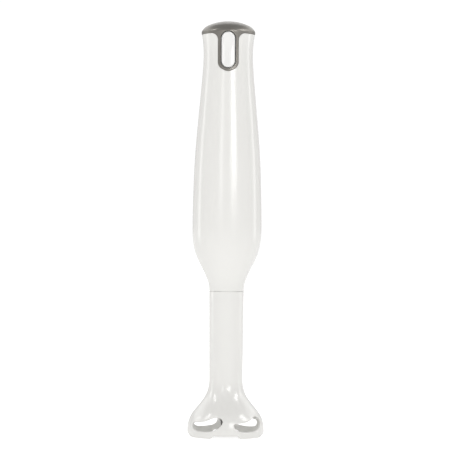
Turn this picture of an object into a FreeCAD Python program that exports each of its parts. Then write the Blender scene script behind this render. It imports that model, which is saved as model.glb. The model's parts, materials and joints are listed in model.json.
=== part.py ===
"""Immersion blender with a fixed stem, a single push button and a direct-current motor.

Units are millimetres. +Z points up along the drive axis, and z = 0 is the plane on which
the feet of the blade bell stand. The button faces -Y. Each function below makes one
sub-part in its assembled place, and the table at the end writes each one to its own STEP
file. Surfaces of the casing are surfaces of revolution about Z, given by an outline of
radius against height and by an offset from that outline, outward positive.
"""

import FreeCAD
import Part
import math
import os

V = FreeCAD.Vector
X_AXIS, Y_AXIS, Z_AXIS = V(1, 0, 0), V(0, 1, 0), V(0, 0, 1)
ORIGIN = V(0, 0, 0)

# ---------------------------------------------------------------- driving dimensions
HEIGHT = 369.6          # feet to the top of the cap
WALL = 2.4              # casing wall
BELL_WALL = 2.3         # wall of the bell
FIT = 0.1               # gap between casing pieces that only locate each other
BORE_GAP = 0.02         # gap round a pressed or seated round piece
RUN_GAP = 0.03          # radial running clearance of the shafts in their bushes

NECK_Z = 53.0           # top of the bell's flare
SHOULDER_Z = 129.0      # seam between the stem and the two body shells
CAP_Z = 357.5           # seam between the body shells and the top cap
AXIS_TOP = 364.0        # top of the helper surfaces, above the cap seam
SHOULDER_R = 15.5

# Outside of the casing as (height, radius)
BELL_OUTLINE = [(0.0, 34.05), (5.3, 34.2), (12.5, 33.3), (17.8, 31.3), (23.1, 27.7),
                (30.2, 21.9), (35.6, 18.3), (40.9, 16.1), (46.3, 15.1), (NECK_Z, 14.9)]
BODY_OUTLINE = [(125.0, 15.42), (SHOULDER_Z, SHOULDER_R), (135.2, 16.1), (140.6, 17.8), (148.6, 21.5),
                (156.6, 25.5), (164.6, 28.5), (175.0, 30.4), (187.0, 30.8), (208.0, 30.5),
                (250.9, 28.9), (293.6, 25.35), (320.0, 23.05), (337.0, 22.05),
                (348.0, 22.4), (355.5, 23.3), (AXIS_TOP, 24.7)]

# Cap: three tangent arcs from the crown down to the widest line
CAP_R, CAP_WIDE_Z, CAP_FOOT_R = 23.95, 359.3, 23.75
CROWN_R, HAUNCH_R, RIM_R = 44.0, 12.0, 3.0
SPIGOT_CAP_R, SPIGOT_CAP_BORE = 19.85, 18.3

# Drive line
SHAFT_R = 2.5
SHAFT_LOW_Z, SHAFT_TOP_Z = 9.8, 167.0
MOTOR_SHAFT_LOW_Z, MOTOR_SHAFT_TOP_Z = 174.5, 266.3
BLADE_Z = 13.4
BLADE_T = 1.2
BLADE_REACH = 23.0
BUSH_R = 5.2

# Motor
CAN_Z, CAN_TOP_Z, CAN_R, CAN_T = 195.0, 249.0, 21.0, 1.2
END_CAP_TOP_Z = 262.0
ARMATURE_R, ARMATURE_Z, ARMATURE_TOP_Z = 14.8, 205.0, 237.0
SLOT_COUNT = 12
COMMUTATOR_R, COMMUTATOR_Z, COMMUTATOR_TOP_Z = 7.0, 245.0, 256.5
BRUSH_Z, BRUSH_H, BRUSH_W, BRUSH_OUT_R = 252.0, 4.8, 4.8, 15.0
BOARD_Z, BOARD_T, BOARD_R = 270.0, 1.6, 15.5

# Button, trim and switch
BUTTON_LOW_Z, BUTTON_TOP_Z, BUTTON_W = 327.0, 358.2, 11.8
BUTTON_GAP = 0.8
TRIM_PROUD = 0.3
BUTTON_FACE = [(320.0, 24.6), (338.0, 23.75), (362.0, 26.1)]    # arc as (height, radius)
TRIM_HALF_W, TRIM_TIP_Z, TRIM_FLANK_Z = 9.1, 323.1, 327.3
TRIM_TIP_R, TRIM_FLANK_R, TRIM_THROAT_R = 6.0, 7.5, 6.2
TRIM_BACK = 3.75        # depth of the trim behind the casing surface
FLANGE_FRONT, FLANGE_BACK, FLANGE_RIM = 4.0, 5.2, 1.7
PRESS_Z = 342.2         # height of the switch plunger and of the button's post
POST_END_Y, PLUNGER_TIP_Y = -13.1, -13.0
PLATE_FRONT_Y, PLATE_BACK_Y = -12.0, -10.5
SPRING_SEAT_Y = -16.1

# Screws that clamp the rear shell to the front shell, as (x, z), used on both sides
SCREW_SPOTS = [(14.5, 304.0), (17.5, 176.0)]
SCREW_R, SCREW_HEAD_R, SCREW_HEAD_T = 1.5, 2.9, 2.0
SCREW_SEAT_Y, SCREW_TIP_Y = 4.5, -8.0

# Cord entry and clamp
CORD_BORE_R = 3.3
GROMMET_R, GROMMET_FLANGE_R = 5.4, 7.5
GROMMET_LOW_Z, GROMMET_FLANGE_Z = 358.0, 366.4
CLAMP_Z, CLAMP_Y, CLAMP_H = 312.0, 14.5, 6.0
CLAMP_SCREW_X = 8.3


# ---------------------------------------------------------------- shape helpers
def cylinder(radius, low, high, x=0.0, y=0.0):
    """Upright cylinder between two heights."""
    return Part.makeCylinder(radius, high - low, V(x, y, low), Z_AXIS)


def cylinder_along(radius, start, direction, length):
    """Cylinder from a point along a direction."""
    return Part.makeCylinder(radius, length, start, direction)


def tube(outer, inner, low, high, x=0.0, y=0.0):
    """Upright ring between two heights."""
    return cylinder(outer, low, high, x, y).cut(cylinder(inner, low - 1, high + 1, x, y))


def block(x0, x1, y0, y1, z0, z1):
    """Box between two corners."""
    return Part.makeBox(x1 - x0, y1 - y0, z1 - z0, V(x0, y0, z0))


def fused(shapes):
    """One solid from several, with shared seams removed."""
    first = shapes[0]
    rest = shapes[1:]
    return first.fuse(rest).removeSplitter() if rest else first


def sector(outer, inner, low, high, middle_deg, span_deg):
    """Piece of an upright ring, centred on an angle from +X."""
    start = math.radians(middle_deg - span_deg / 2)
    direction = V(math.cos(start), math.sin(start), 0)
    ring_face = Part.Face(Part.makePolygon([
        direction * inner + V(0, 0, low), direction * outer + V(0, 0, low),
        direction * outer + V(0, 0, high), direction * inner + V(0, 0, high),
        direction * inner + V(0, 0, low)]))
    return ring_face.revolve(ORIGIN, Z_AXIS, span_deg)


def lathe(points):
    """Solid of revolution from (radius, height) corners."""
    corners = [V(radius, 0, height) for radius, height in points]
    face = Part.Face(Part.makePolygon(corners + corners[:1]))
    return face.revolve(ORIGIN, Z_AXIS, 360)


def turned(shape, degrees, axis=Z_AXIS, centre=ORIGIN):
    """Copy of a shape turned about an axis."""
    copy = shape.copy()
    copy.rotate(centre, axis, degrees)
    return copy


def rounded_wire(corners, radii):
    """Closed wire through corners, each rounded by a tangent arc of its own radius."""
    edges = []
    count = len(corners)
    ends = []
    for i, corner in enumerate(corners):
        before, after = corners[i - 1], corners[(i + 1) % count]
        to_before = (before - corner).normalize()
        to_after = (after - corner).normalize()
        if radii[i] <= 0:
            ends.append((corner, None, corner))
            continue
        half = to_before.getAngle(to_after) / 2
        reach = radii[i] / math.tan(half)
        inward = (to_before + to_after).normalize()
        middle = corner + inward * (radii[i] / math.sin(half) - radii[i])
        ends.append((corner + to_before * reach, middle, corner + to_after * reach))
    for i, (start, middle, end) in enumerate(ends):
        if middle is not None:
            edges.append(Part.Arc(start, middle, end).toShape())
        following = ends[(i + 1) % count][0]
        if (following - end).Length > 1e-6:
            edges.append(Part.LineSegment(end, following).toShape())
    return Part.Wire(edges)


def coil_spring(radius, wire_r, length, turns):
    """Coil spring standing on z = 0, with its axis on +Z: half turns that meet tangent to Y."""
    climb = (length - 2 * wire_r) / (2 * turns)
    arcs = []
    for half in range(int(2 * turns)):
        side = 1 if half % 2 == 0 else -1
        low = wire_r + half * climb
        start = V(side * radius, 0, low)
        middle = V(0, side * math.hypot(radius, climb / 2), low + climb / 2)
        end = V(-side * radius, 0, low + climb)
        arcs.append(Part.Arc(start, middle, end).toShape())
    circle = Part.Wire(Part.makeCircle(wire_r, V(radius, 0, wire_r), Y_AXIS))
    return Part.Wire(arcs).makePipeShell([circle], True, False)


def wire_lead(points, radius):
    """Insulated lead: straight runs joined by tangent arcs as large as the runs allow."""
    nodes = [V(*p) for p in points]
    edges = []
    here = nodes[0]
    for before, corner, after in zip(nodes, nodes[1:], nodes[2:]):
        to_before, to_after = (before - corner), (after - corner)
        shorter = min(to_before.Length, to_after.Length)
        half = to_before.getAngle(to_after) / 2
        reach = 0.45 * shorter
        bend = reach * math.tan(half)
        to_before.normalize()
        to_after.normalize()
        inward = (to_before + to_after).normalize()
        middle = corner + inward * (bend / math.sin(half) - bend)
        start, end = corner + to_before * reach, corner + to_after * reach
        edges.append(Part.LineSegment(here, start).toShape())
        edges.append(Part.Arc(start, middle, end).toShape())
        here = end
    edges.append(Part.LineSegment(here, nodes[-1]).toShape())
    first = edges[0]
    direction = nodes[1] - nodes[0]
    circle = Part.Wire(Part.makeCircle(radius, nodes[0], direction))
    return Part.Wire([first] + edges[1:]).makePipeShell([circle], True, False)


# ---------------------------------------------------------------- casing surfaces
def smooth_edge(outline, offset, start_slope, end_slope):
    """Smooth curve through (height, radius) points, moved outward by an offset."""
    points = [V(radius, 0, height) for height, radius in outline]
    curve = Part.BSplineCurve()
    curve.interpolate(Points=points, InitialTangent=start_slope, FinalTangent=end_slope)
    if offset:
        moved = []
        for point in points:
            tangent = V(*curve.tangent(curve.parameter(point))[0])
            if tangent.z < 0:
                tangent = tangent * -1
            moved.append(point + V(tangent.z, 0, -tangent.x) * offset)
        curve = Part.BSplineCurve()
        curve.interpolate(Points=moved, InitialTangent=start_slope, FinalTangent=end_slope)
    return curve.toShape()


def spun(edges):
    """Solid of revolution from edges that run upward, closed to the axis."""
    low, high = edges[0].valueAt(edges[0].FirstParameter), edges[-1].valueAt(edges[-1].LastParameter)
    closing = [Part.LineSegment(high, V(0, 0, high.z)).toShape(),
               Part.LineSegment(V(0, 0, high.z), V(0, 0, low.z)).toShape(),
               Part.LineSegment(V(0, 0, low.z), low).toShape()]
    return Part.Face(Part.Wire(edges + closing)).revolve(ORIGIN, Z_AXIS, 360)


def body_solid(offset=0.0):
    """Everything inside the body surface, from below the shoulder to above the cap seam."""
    return spun([smooth_edge(BODY_OUTLINE, offset, V(0.006, 0, 1), V(0.15, 0, 1))])


def bell_edge(offset=0.0):
    """Curve of the bell from the feet to the neck."""
    return smooth_edge(BELL_OUTLINE, offset, V(0.03, 0, 1), V(0.008, 0, 1))


def cap_solid():
    """Everything inside the domed cap, down to the cap seam."""
    reach, drop = CAP_R - RIM_R, CAP_WIDE_Z - (HEIGHT - CROWN_R)
    long_arm, short_arm = CROWN_R - HAUNCH_R, HAUNCH_R - RIM_R
    span = math.hypot(reach, drop)
    spread = math.acos((span ** 2 - long_arm ** 2 - short_arm ** 2) / (2 * long_arm * short_arm))
    first = math.atan2(reach, drop) - math.asin(short_arm * math.sin(spread) / span)
    second = first + spread
    crown_centre = V(0, 0, HEIGHT - CROWN_R)
    haunch_centre = crown_centre + lean(first) * long_arm
    rim_centre = haunch_centre + lean(second) * short_arm
    crown = arc_about(crown_centre, CROWN_R, 0, first)
    haunch = arc_about(haunch_centre, HAUNCH_R, first, second)
    rim = arc_about(rim_centre, RIM_R, second, math.pi / 2)
    wide, foot = V(CAP_R, 0, CAP_WIDE_Z), V(CAP_FOOT_R, 0, CAP_Z)
    tuck = Part.Arc(wide, (wide + foot) * 0.5 + V(0.05, 0, 0), foot).toShape()
    closing = [Part.LineSegment(foot, V(0, 0, CAP_Z)).toShape(),
               Part.LineSegment(V(0, 0, CAP_Z), V(0, 0, HEIGHT)).toShape()]
    return Part.Face(Part.Wire([crown, haunch, rim, tuck] + closing)).revolve(ORIGIN, Z_AXIS, 360)


def lean(angle):
    """Direction at an angle from +Z towards +X."""
    return V(math.sin(angle), 0, math.cos(angle))


def arc_about(centre, radius, start, end):
    """Arc between two lean angles."""
    middle = lean((start + end) / 2)
    return Part.Arc(centre + lean(start) * radius, centre + middle * radius,
                    centre + lean(end) * radius).toShape()


def capsule_prism(grow, y0, y1):
    """Upright capsule of the button, grown all round, as a prism along Y."""
    radius = BUTTON_W / 2 + grow
    low, high = BUTTON_LOW_Z + BUTTON_W / 2, BUTTON_TOP_Z - BUTTON_W / 2
    left, right = V(-radius, y0, 0), V(radius, y0, 0)
    wire = Part.Wire([
        Part.Arc(left + V(0, 0, low), V(0, y0, low - radius), right + V(0, 0, low)).toShape(),
        Part.LineSegment(right + V(0, 0, low), right + V(0, 0, high)).toShape(),
        Part.Arc(right + V(0, 0, high), V(0, y0, high + radius), left + V(0, 0, high)).toShape(),
        Part.LineSegment(left + V(0, 0, high), left + V(0, 0, low)).toShape()])
    return Part.Face(wire).extrude(V(0, y1 - y0, 0))


def trim_prism(grow, top, flared=True):
    """Outline of the button trim, pointed below and flared into the cap seam, along Y."""
    half, throat = TRIM_HALF_W + grow, TRIM_THROAT_R - grow
    seam, wide, front = CAP_Z - grow, TRIM_HALF_W + TRIM_THROAT_R + 12, -40
    corners = [V(0, front, TRIM_TIP_Z - grow), V(half, front, TRIM_FLANK_Z - grow / 2)]
    radii = [TRIM_TIP_R, TRIM_FLANK_R]
    if flared:
        corners += [V(half, front, seam), V(wide, front, seam), V(wide, front, top)]
        radii += [throat, 0, 0]
    else:
        corners += [V(half, front, top)]
        radii += [0]
    mirrored = [V(-p.x, p.y, p.z) for p in reversed(corners[1:])]
    wire = rounded_wire(corners + mirrored, radii + list(reversed(radii[1:])))
    return Part.Face(wire).extrude(V(0, -front, 0))


# ---------------------------------------------------------------- stem and bell
WINDOW_OUTLINE = [(-15.9, 11.6), (-14.5, 8.4), (-10.0, 6.5), (-2.5, 6.0), (6.0, 6.8), (12.9, 10.3),
                  (15.0, 15.2), (11.4, 18.2), (2.5, 16.4), (-8.6, 13.6)]
WINDOW_ANGLES = (-33.0, 42.5, 147.0, 222.5)     # from -Y towards +X
BELL_CEILING_Z, BELL_BOSS_Z, BELL_BOSS_R = 34.0, 22.0, 11.4
CARRIER_R, CARRIER_FLANGE_R, CARRIER_LEDGE_Z, CARRIER_TOP_Z = 8.95, 11.3, 40.0, 44.5
STEM_BORE_R, SPIGOT_R, SPIGOT_TOP_Z = 12.4, 13.0, 147.0
COLLAR_R, COLLAR_LOW_Z, COLLAR_TOP_Z = 15.6, 143.0, 145.5
KEY_REACH, KEY_HALF_W, KEY_SPAN = 14.5, 1.5, (139.6, 143.5)


def window_cutter(angle):
    """Slanted egg-shaped slot that sends food out of the bell, cut along its own direction."""
    points = [V(across, 0, height) for across, height in WINDOW_OUTLINE]
    curve = Part.BSplineCurve()
    curve.interpolate(Points=points, PeriodicFlag=True)
    slot = Part.Face(Part.Wire(curve.toShape())).extrude(V(0, -45, 0))
    slot = slot.common(block(-30, 30, -45, -14, 0, 40))
    return turned(slot, angle)


def foot_notch(half_low, half_high, height):
    """Shallow arch under the rim, as a prism along Y through both sides of the bell."""
    corners = [V(-half_low, -45, -1), V(-half_low, -45, 0), V(-half_high, -45, height),
               V(half_high, -45, height), V(half_low, -45, 0), V(half_low, -45, -1)]
    wire = rounded_wire(corners, [0, 2.5, 2.5, 2.5, 2.5, 0])
    return Part.Face(wire).extrude(V(0, 90, 0))


def stem_and_bell():
    """One moulding: bell with four windows, stem tube, and the spigot held by the body shells."""
    bell = bell_edge()
    neck = bell.valueAt(bell.LastParameter)
    stem_line = Part.LineSegment(neck, V(SHOULDER_R, 0, SHOULDER_Z)).toShape()
    outside = spun([bell, stem_line])

    inside_edge = bell_edge(-BELL_WALL)
    foot = inside_edge.valueAt(inside_edge.FirstParameter)
    inside_edge = [Part.LineSegment(V(foot.x, 0, -1), foot).toShape(), inside_edge]
    cavity = spun(inside_edge).common(cylinder(40, -1, BELL_CEILING_Z))
    cavity = cavity.cut(cylinder(BELL_BOSS_R, BELL_BOSS_Z, BELL_CEILING_Z + 1))

    solid = outside.cut(cavity)
    solid = solid.cut(cylinder(CARRIER_R + BORE_GAP, 0, CARRIER_LEDGE_Z + 1))
    solid = solid.cut(cylinder(STEM_BORE_R, CARRIER_LEDGE_Z, SHOULDER_Z + 1))
    ribs = [turned(block(BELL_BOSS_R - 1, 24, -0.8, 0.8, 25.0, BELL_CEILING_Z + 1), 4 + 90 * i)
            for i in range(4)]
    inner_limit = spun([bell_edge(-BELL_WALL / 2)])
    solid = fused([solid] + [rib.common(inner_limit) for rib in ribs])

    for angle in WINDOW_ANGLES:
        solid = solid.cut(window_cutter(angle))
    solid = solid.cut(foot_notch(14.4, 10.5, 2.3))
    solid = solid.cut(turned(foot_notch(16.5, 5.5, 2.7), 90))

    spigot = tube(SPIGOT_R, 10.8, SHOULDER_Z - 2, SPIGOT_TOP_Z)
    collar = tube(COLLAR_R, 11.5, COLLAR_LOW_Z, COLLAR_TOP_Z)
    key_bar = block(-KEY_REACH, KEY_REACH, -KEY_HALF_W, KEY_HALF_W, *KEY_SPAN)
    keys = key_bar.cut(cylinder(11.5, SHOULDER_Z, COLLAR_TOP_Z))
    solid = fused([solid, spigot, collar, keys])
    seam = tube(16.5, SHOULDER_R - 0.25, SHOULDER_Z - 0.2, SHOULDER_Z + 0.1)
    return solid.cut(seam)


def polar(radius, degrees):
    """(x, y) at an angle from +X."""
    return radius * math.cos(math.radians(degrees)), radius * math.sin(math.radians(degrees))


# ---------------------------------------------------------------- body shells
# Rings inside the shells that hold other pieces: (low z, high z, inner radius)
SHELL_WEBS = [(139.0, 142.8, SPIGOT_R + FIT), (145.7, 148.2, SPIGOT_R + FIT),
              (150.6, 153.1, 9.2), (155.3, 157.8, 9.2), (190.6, 193.0, 19.0),
              (196.0, 199.0, 25.05), (252.0, 256.0, 24.05), (262.2, 264.2, 18.5)]
VENT_SPOTS = [(266.0, 5, 11.0), (179.4, 3, 10.5)]   # (lowest z, rows, half width)
VENT_PITCH, VENT_H = 4.4, 1.8


def shell_blank():
    """Both body shells in one piece, with their inner rings."""
    outside = body_solid().common(cylinder(60, SHOULDER_Z, CAP_Z - FIT))
    blank = outside.cut(body_solid(-WALL))
    rings = [tube(60, radius, low, high).common(body_solid(-WALL / 2))
             for low, high, radius in SHELL_WEBS]
    snap_groove = tube(SPIGOT_CAP_R + 0.9, 19.0, 351.4, 352.8)
    key_slot = block(-KEY_REACH - FIT, KEY_REACH + FIT, -KEY_HALF_W - FIT, KEY_HALF_W + FIT,
                     KEY_SPAN[0] - FIT, KEY_SPAN[1])
    return fused([blank] + rings).cut(snap_groove).cut(key_slot)


def seam_groove():
    """Fine shadow line cut on the outside where the two shells meet."""
    skin = body_solid(0.5).cut(body_solid(-0.3))
    return skin.common(block(-60, 60, -0.14, 0.14, SHOULDER_Z - 1, AXIS_TOP))


def boss(x, z, radius, y_near, y_far):
    """Round pillar along Y that ends inside the casing wall."""
    length = y_far - y_near
    return cylinder_along(radius, V(x, y_near, z), Y_AXIS, length).common(body_solid(-WALL / 2))


def screw_places():
    """Both sides of each housing screw position."""
    return [(side * x, z) for x, z in SCREW_SPOTS for side in (-1, 1)]


def front_shell(blank, groove):
    """Front body shell, open where the button trim fits, with blind screw pillars."""
    half = blank.common(block(-60, 60, -60, 0, SHOULDER_Z - 1, AXIS_TOP))
    pillars = [boss(x, z, 3.4, -40, 0) for x, z in screw_places()]
    bracket_pillars = [boss(x, 317.5, 2.8, -40, PLATE_FRONT_Y - 0.02) for x in (-8.8, 8.8)]
    shell = fused([half] + pillars + bracket_pillars)
    for x, z in screw_places():
        shell = shell.cut(cylinder_along(SCREW_R + BORE_GAP, V(x, SCREW_TIP_Y - 1, z), Y_AXIS, 20))
    for x in (-8.8, 8.8):
        shell = shell.cut(cylinder_along(1.12, V(x, -18, 317.5), Y_AXIS, 12))
    return shell.cut(trim_prism(FIT, AXIS_TOP)).cut(groove)


def rear_shell(blank, groove):
    """Rear body shell with counterbored screw pillars, air slots and the cord saddle."""
    half = blank.common(block(-60, 60, 0, 60, SHOULDER_Z - 1, AXIS_TOP))
    pillars = [boss(x, z, 4.2, 0, 40) for x, z in screw_places()]
    saddle = block(-5, 5, CLAMP_Y + 0.5, 40, CLAMP_Z - 2, CLAMP_Z + 2).common(body_solid(-WALL / 2))
    clamp_pillars = [boss(x, CLAMP_Z, 3.0, CLAMP_Y, 40) for x in (-CLAMP_SCREW_X, CLAMP_SCREW_X)]
    shell = fused([half] + pillars + [saddle] + clamp_pillars)
    shell = shell.cut(cylinder(3.2, CLAMP_Z - 5, CLAMP_Z + 5, 0, CLAMP_Y))
    for x in (-CLAMP_SCREW_X, CLAMP_SCREW_X):
        shell = shell.cut(cylinder_along(1.32, V(x, CLAMP_Y - 1, CLAMP_Z), Y_AXIS, 5.4))
    for x, z in screw_places():
        shell = shell.cut(cylinder_along(SCREW_R + 0.2, V(x, -1, z), Y_AXIS, 40))
        shell = shell.cut(cylinder_along(SCREW_HEAD_R + 0.35, V(x, SCREW_SEAT_Y, z), Y_AXIS, 40))
    for low, rows, half_width in VENT_SPOTS:
        for row in range(rows):
            z = low + row * VENT_PITCH
            slot = block(-half_width, half_width, 8, 60, z, z + VENT_H)
            ends = [cylinder_along(VENT_H / 2, V(side * half_width, 8, z + VENT_H / 2), Y_AXIS, 52)
                    for side in (-1, 1)]
            shell = shell.cut(fused([slot] + ends))
    return shell.cut(groove)


def housing_screws():
    """Four pan-head screws from the rear shell into the front shell."""
    screws = []
    for x, z in screw_places():
        head = cylinder_along(SCREW_HEAD_R, V(x, SCREW_SEAT_Y, z), Y_AXIS, SCREW_HEAD_T)
        head = head.makeFillet(0.8, [head.Edges[0]])
        shank = cylinder_along(SCREW_R, V(x, SCREW_TIP_Y, z), Y_AXIS, SCREW_SEAT_Y - SCREW_TIP_Y)
        screws.append(fused([head, shank]).cut(cross_recess(x, SCREW_SEAT_Y + SCREW_HEAD_T, z)))
    return Part.makeCompound(screws)


def cross_recess(x, y, z):
    """Cross slot for a screw head whose face is at y and looks along +Y."""
    long_way = block(x - 1.5, x + 1.5, y - 1.2, y + 1, z - 0.35, z + 0.35)
    return long_way.fuse(turned(long_way, 90, Y_AXIS, V(x, 0, z)))


def plain_screw(head_r, head_t, shank_r, shank_length):
    """Small cross-head screw whose seat is z = 0, shank downwards."""
    head = cylinder(head_r, 0, head_t)
    shank = cylinder(shank_r, -shank_length, 0)
    slot = block(-head_r * 0.6, head_r * 0.6, -0.25, 0.25, head_t - 0.6, head_t + 1)
    return fused([head, shank]).cut(slot).cut(turned(slot, 90))


# ---------------------------------------------------------------- cap, button and switch
def top_cap():
    """Domed grey cap with the button trim hanging down the front and a snap-in spigot."""
    inner_r = CROWN_R - 2.2
    centre_z = HEIGHT - CROWN_R
    vault = Part.makeSphere(inner_r, V(0, 0, centre_z)).common(cylinder(SPIGOT_CAP_BORE, 340, HEIGHT))
    dome = cap_solid().cut(vault)
    spigot = tube(SPIGOT_CAP_R, SPIGOT_CAP_BORE, 349.5, CAP_Z + 1)
    bead = tube(SPIGOT_CAP_R + 0.6, SPIGOT_CAP_BORE + 0.5, 351.6, 352.6)
    trim = body_solid(TRIM_PROUD).cut(body_solid(-TRIM_BACK)).common(trim_prism(0, CAP_Z + 0.4))
    backing = body_solid(-WALL - FIT).cut(body_solid(-TRIM_BACK + 0.05))
    backing = backing.common(trim_prism(1.5, 351.0, False))
    cap = fused([dome, spigot, bead, trim, backing])
    pocket = capsule_prism(FLANGE_RIM + 0.5, -40, -8).common(body_solid(-TRIM_BACK - 0.02))
    cap = cap.cut(capsule_prism(BUTTON_GAP, -40, -8)).cut(pocket)
    return cap.cut(cylinder(GROMMET_R + BORE_GAP, 350, HEIGHT + 1))


def cord_grommet():
    """Soft gland in the top of the cap that the mains cord passes through."""
    body = cylinder(GROMMET_R, GROMMET_LOW_Z, HEIGHT + 1).common(cap_solid())
    flange = cylinder(GROMMET_FLANGE_R, GROMMET_FLANGE_Z - 2.0, GROMMET_FLANGE_Z)
    return fused([body, flange]).cut(cylinder(CORD_BORE_R, 350, HEIGHT + 2))


def button_face_solid():
    """Everything inside the gently hollowed front surface of the button."""
    low, middle, high = [V(radius, 0, height) for height, radius in BUTTON_FACE]
    return spun([Part.Arc(low, middle, high).toShape()])


def power_button():
    """White push button: crowned capsule, retaining flange, spring seat and post."""
    key = capsule_prism(0, -40, -8).common(button_face_solid())
    key = key.makeFillet(1.1, [e for e in key.Edges if e.CenterOfMass.y < -20])
    key = key.cut(body_solid(-FLANGE_BACK))
    flange = capsule_prism(FLANGE_RIM, -40, -8).common(body_solid(-FLANGE_FRONT))
    flange = flange.cut(body_solid(-FLANGE_BACK))
    seat = cylinder_along(5.2, V(0, SPRING_SEAT_Y, PRESS_Z), Y_AXIS * -1, 3.0)
    post = cylinder_along(2.2, V(0, POST_END_Y, PRESS_Z), Y_AXIS * -1, 6.0)
    return fused([key, flange, seat, post])


def button_spring():
    """Coil spring between the button and the switch bracket."""
    coil = coil_spring(4.3, 0.33, PLATE_FRONT_Y - SPRING_SEAT_Y, 3)
    coil.rotate(ORIGIN, X_AXIS, 90)
    coil.translate(V(0, PLATE_FRONT_Y, PRESS_Z))
    return coil


SWITCH_HALF_W, SWITCH_LOW_Z, SWITCH_TOP_Z, SWITCH_BACK_Y = 5.15, 324.0, 351.8, 5.5


def switch_body():
    """Snap-action switch case with its plunger hole and two mounting holes."""
    case = block(-SWITCH_HALF_W, SWITCH_HALF_W, PLATE_BACK_Y, SWITCH_BACK_Y,
                 SWITCH_LOW_Z, SWITCH_TOP_Z)
    case = case.makeFillet(0.8, [e for e in case.Edges if abs(e.BoundBox.XLength - 10.3) < 0.1])
    case = case.cut(cylinder_along(1.6, V(0, PLATE_BACK_Y - 1, PRESS_Z), Y_AXIS, 6))
    for y, z in ((-7.5, 327.0), (2.5, 348.8)):
        case = case.cut(cylinder_along(1.55, V(-10, y, z), X_AXIS, 20))
    return case


def switch_plunger():
    """Plunger that the button's post pushes into the switch."""
    pin = cylinder_along(1.4, V(0, PLUNGER_TIP_Y, PRESS_Z), Y_AXIS, 4.0)
    return pin.makeFillet(0.5, [e for e in pin.Edges if abs(e.CenterOfMass.y - PLUNGER_TIP_Y) < 0.01])


def switch_terminals():
    """Three solder tags at the back of the switch."""
    tags = []
    for z in (326.0, 337.6, 349.0):
        tag = block(-2.4, 2.4, SWITCH_BACK_Y, 10.8, z, z + 0.8)
        tags.append(tag.cut(cylinder(0.7, z - 1, z + 2, 0, 9.6)))
    return Part.makeCompound(tags)


def switch_bracket():
    """Plate and cheeks that hold the switch behind the button."""
    plate = block(-12, 12, PLATE_FRONT_Y, PLATE_BACK_Y, 314.2, 352.0)
    cheeks = [block(min(a, b), max(a, b), PLATE_BACK_Y, 4.2, 324.0, 352.0)
              for a, b in ((5.25, 6.85), (-5.25, -6.85))]
    bracket = fused([plate] + cheeks)
    bracket = bracket.cut(cylinder_along(3.2, V(0, -15, PRESS_Z), Y_AXIS, 6))
    for y, z in ((-7.5, 327.0), (2.5, 348.8)):
        bracket = bracket.cut(cylinder_along(1.55, V(-10, y, z), X_AXIS, 20))
    for x in (-8.8, 8.8):
        bracket = bracket.cut(cylinder_along(1.3, V(x, -15, 317.5), Y_AXIS, 6))
    return bracket


def switch_pins():
    """Two headed pins through the bracket cheeks and the switch."""
    pins = []
    for y, z in ((-7.5, 327.0), (2.5, 348.8)):
        shank = cylinder_along(1.5, V(-7.6, y, z), X_AXIS, 14.5)
        head = cylinder_along(2.4, V(6.87, y, z), X_AXIS, 1.2)
        pins.append(fused([shank, head]))
    return Part.makeCompound(pins)


def bracket_screws():
    """Two screws from the bracket into the front shell."""
    screws = []
    for x in (-8.8, 8.8):
        screw = plain_screw(2.2, 1.4, 1.1, 6.8)
        screw.rotate(ORIGIN, X_AXIS, -90)
        screw.translate(V(x, PLATE_BACK_Y, 317.5))
        screws.append(screw)
    return Part.makeCompound(screws)


def cord_clamp():
    """Bar with a half-round groove that grips the mains cord against the rear shell."""
    bar = block(-11.5, 11.5, 9.5, CLAMP_Y - 0.3, CLAMP_Z - CLAMP_H / 2, CLAMP_Z + CLAMP_H / 2)
    bar = bar.makeFillet(1.0, [e for e in bar.Edges if e.BoundBox.YLength > 4])
    bar = bar.cut(cylinder(3.2, CLAMP_Z - 5, CLAMP_Z + 5, 0, CLAMP_Y))
    for x in (-CLAMP_SCREW_X, CLAMP_SCREW_X):
        bar = bar.cut(cylinder_along(1.5, V(x, 8, CLAMP_Z), Y_AXIS, 10))
    return bar


def clamp_screws():
    """Two screws that pull the cord clamp down."""
    screws = []
    for x in (-CLAMP_SCREW_X, CLAMP_SCREW_X):
        screw = plain_screw(2.4, 1.7, 1.3, 9.0)
        screw.rotate(ORIGIN, X_AXIS, 90)
        screw.translate(V(x, 9.5, CLAMP_Z))
        screws.append(screw)
    return Part.makeCompound(screws)


# ---------------------------------------------------------------- motor, fixed pieces
def motor_can():
    """Drawn steel can with vent holes and a bearing pocket in its base."""
    can = tube(CAN_R, CAN_R - CAN_T, CAN_Z, CAN_TOP_Z)
    base = cylinder(CAN_R, CAN_Z, CAN_Z + CAN_T)
    pocket = cylinder(BUSH_R + 1.3, 190.0, CAN_Z + CAN_T)
    can = fused([can, base, pocket])
    can = can.cut(cylinder(BUSH_R + BORE_GAP, 191.0, CAN_Z + 2))
    can = can.cut(cylinder(SHAFT_R + 0.6, 189.0, 192.0))
    for i in range(6):
        can = can.cut(cylinder(2.6, CAN_Z - 1, CAN_Z + 3, *polar(12.5, 30 + 60 * i)))
    return can


def bush(low, high):
    """Sintered bearing bush with running clearance on the shaft."""
    ring = tube(BUSH_R, SHAFT_R + RUN_GAP, low, high)
    outer = [e for e in ring.Edges if abs(e.BoundBox.XLength - 2 * BUSH_R) < 0.01 and e.BoundBox.ZLength < 0.01]
    return ring.makeChamfer(0.4, outer)


def motor_magnets():
    """Two ferrite arcs inside the can."""
    return Part.makeCompound([sector(19.7, 15.4, 201.0, 241.0, middle, 134) for middle in (0, 180)])


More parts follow.
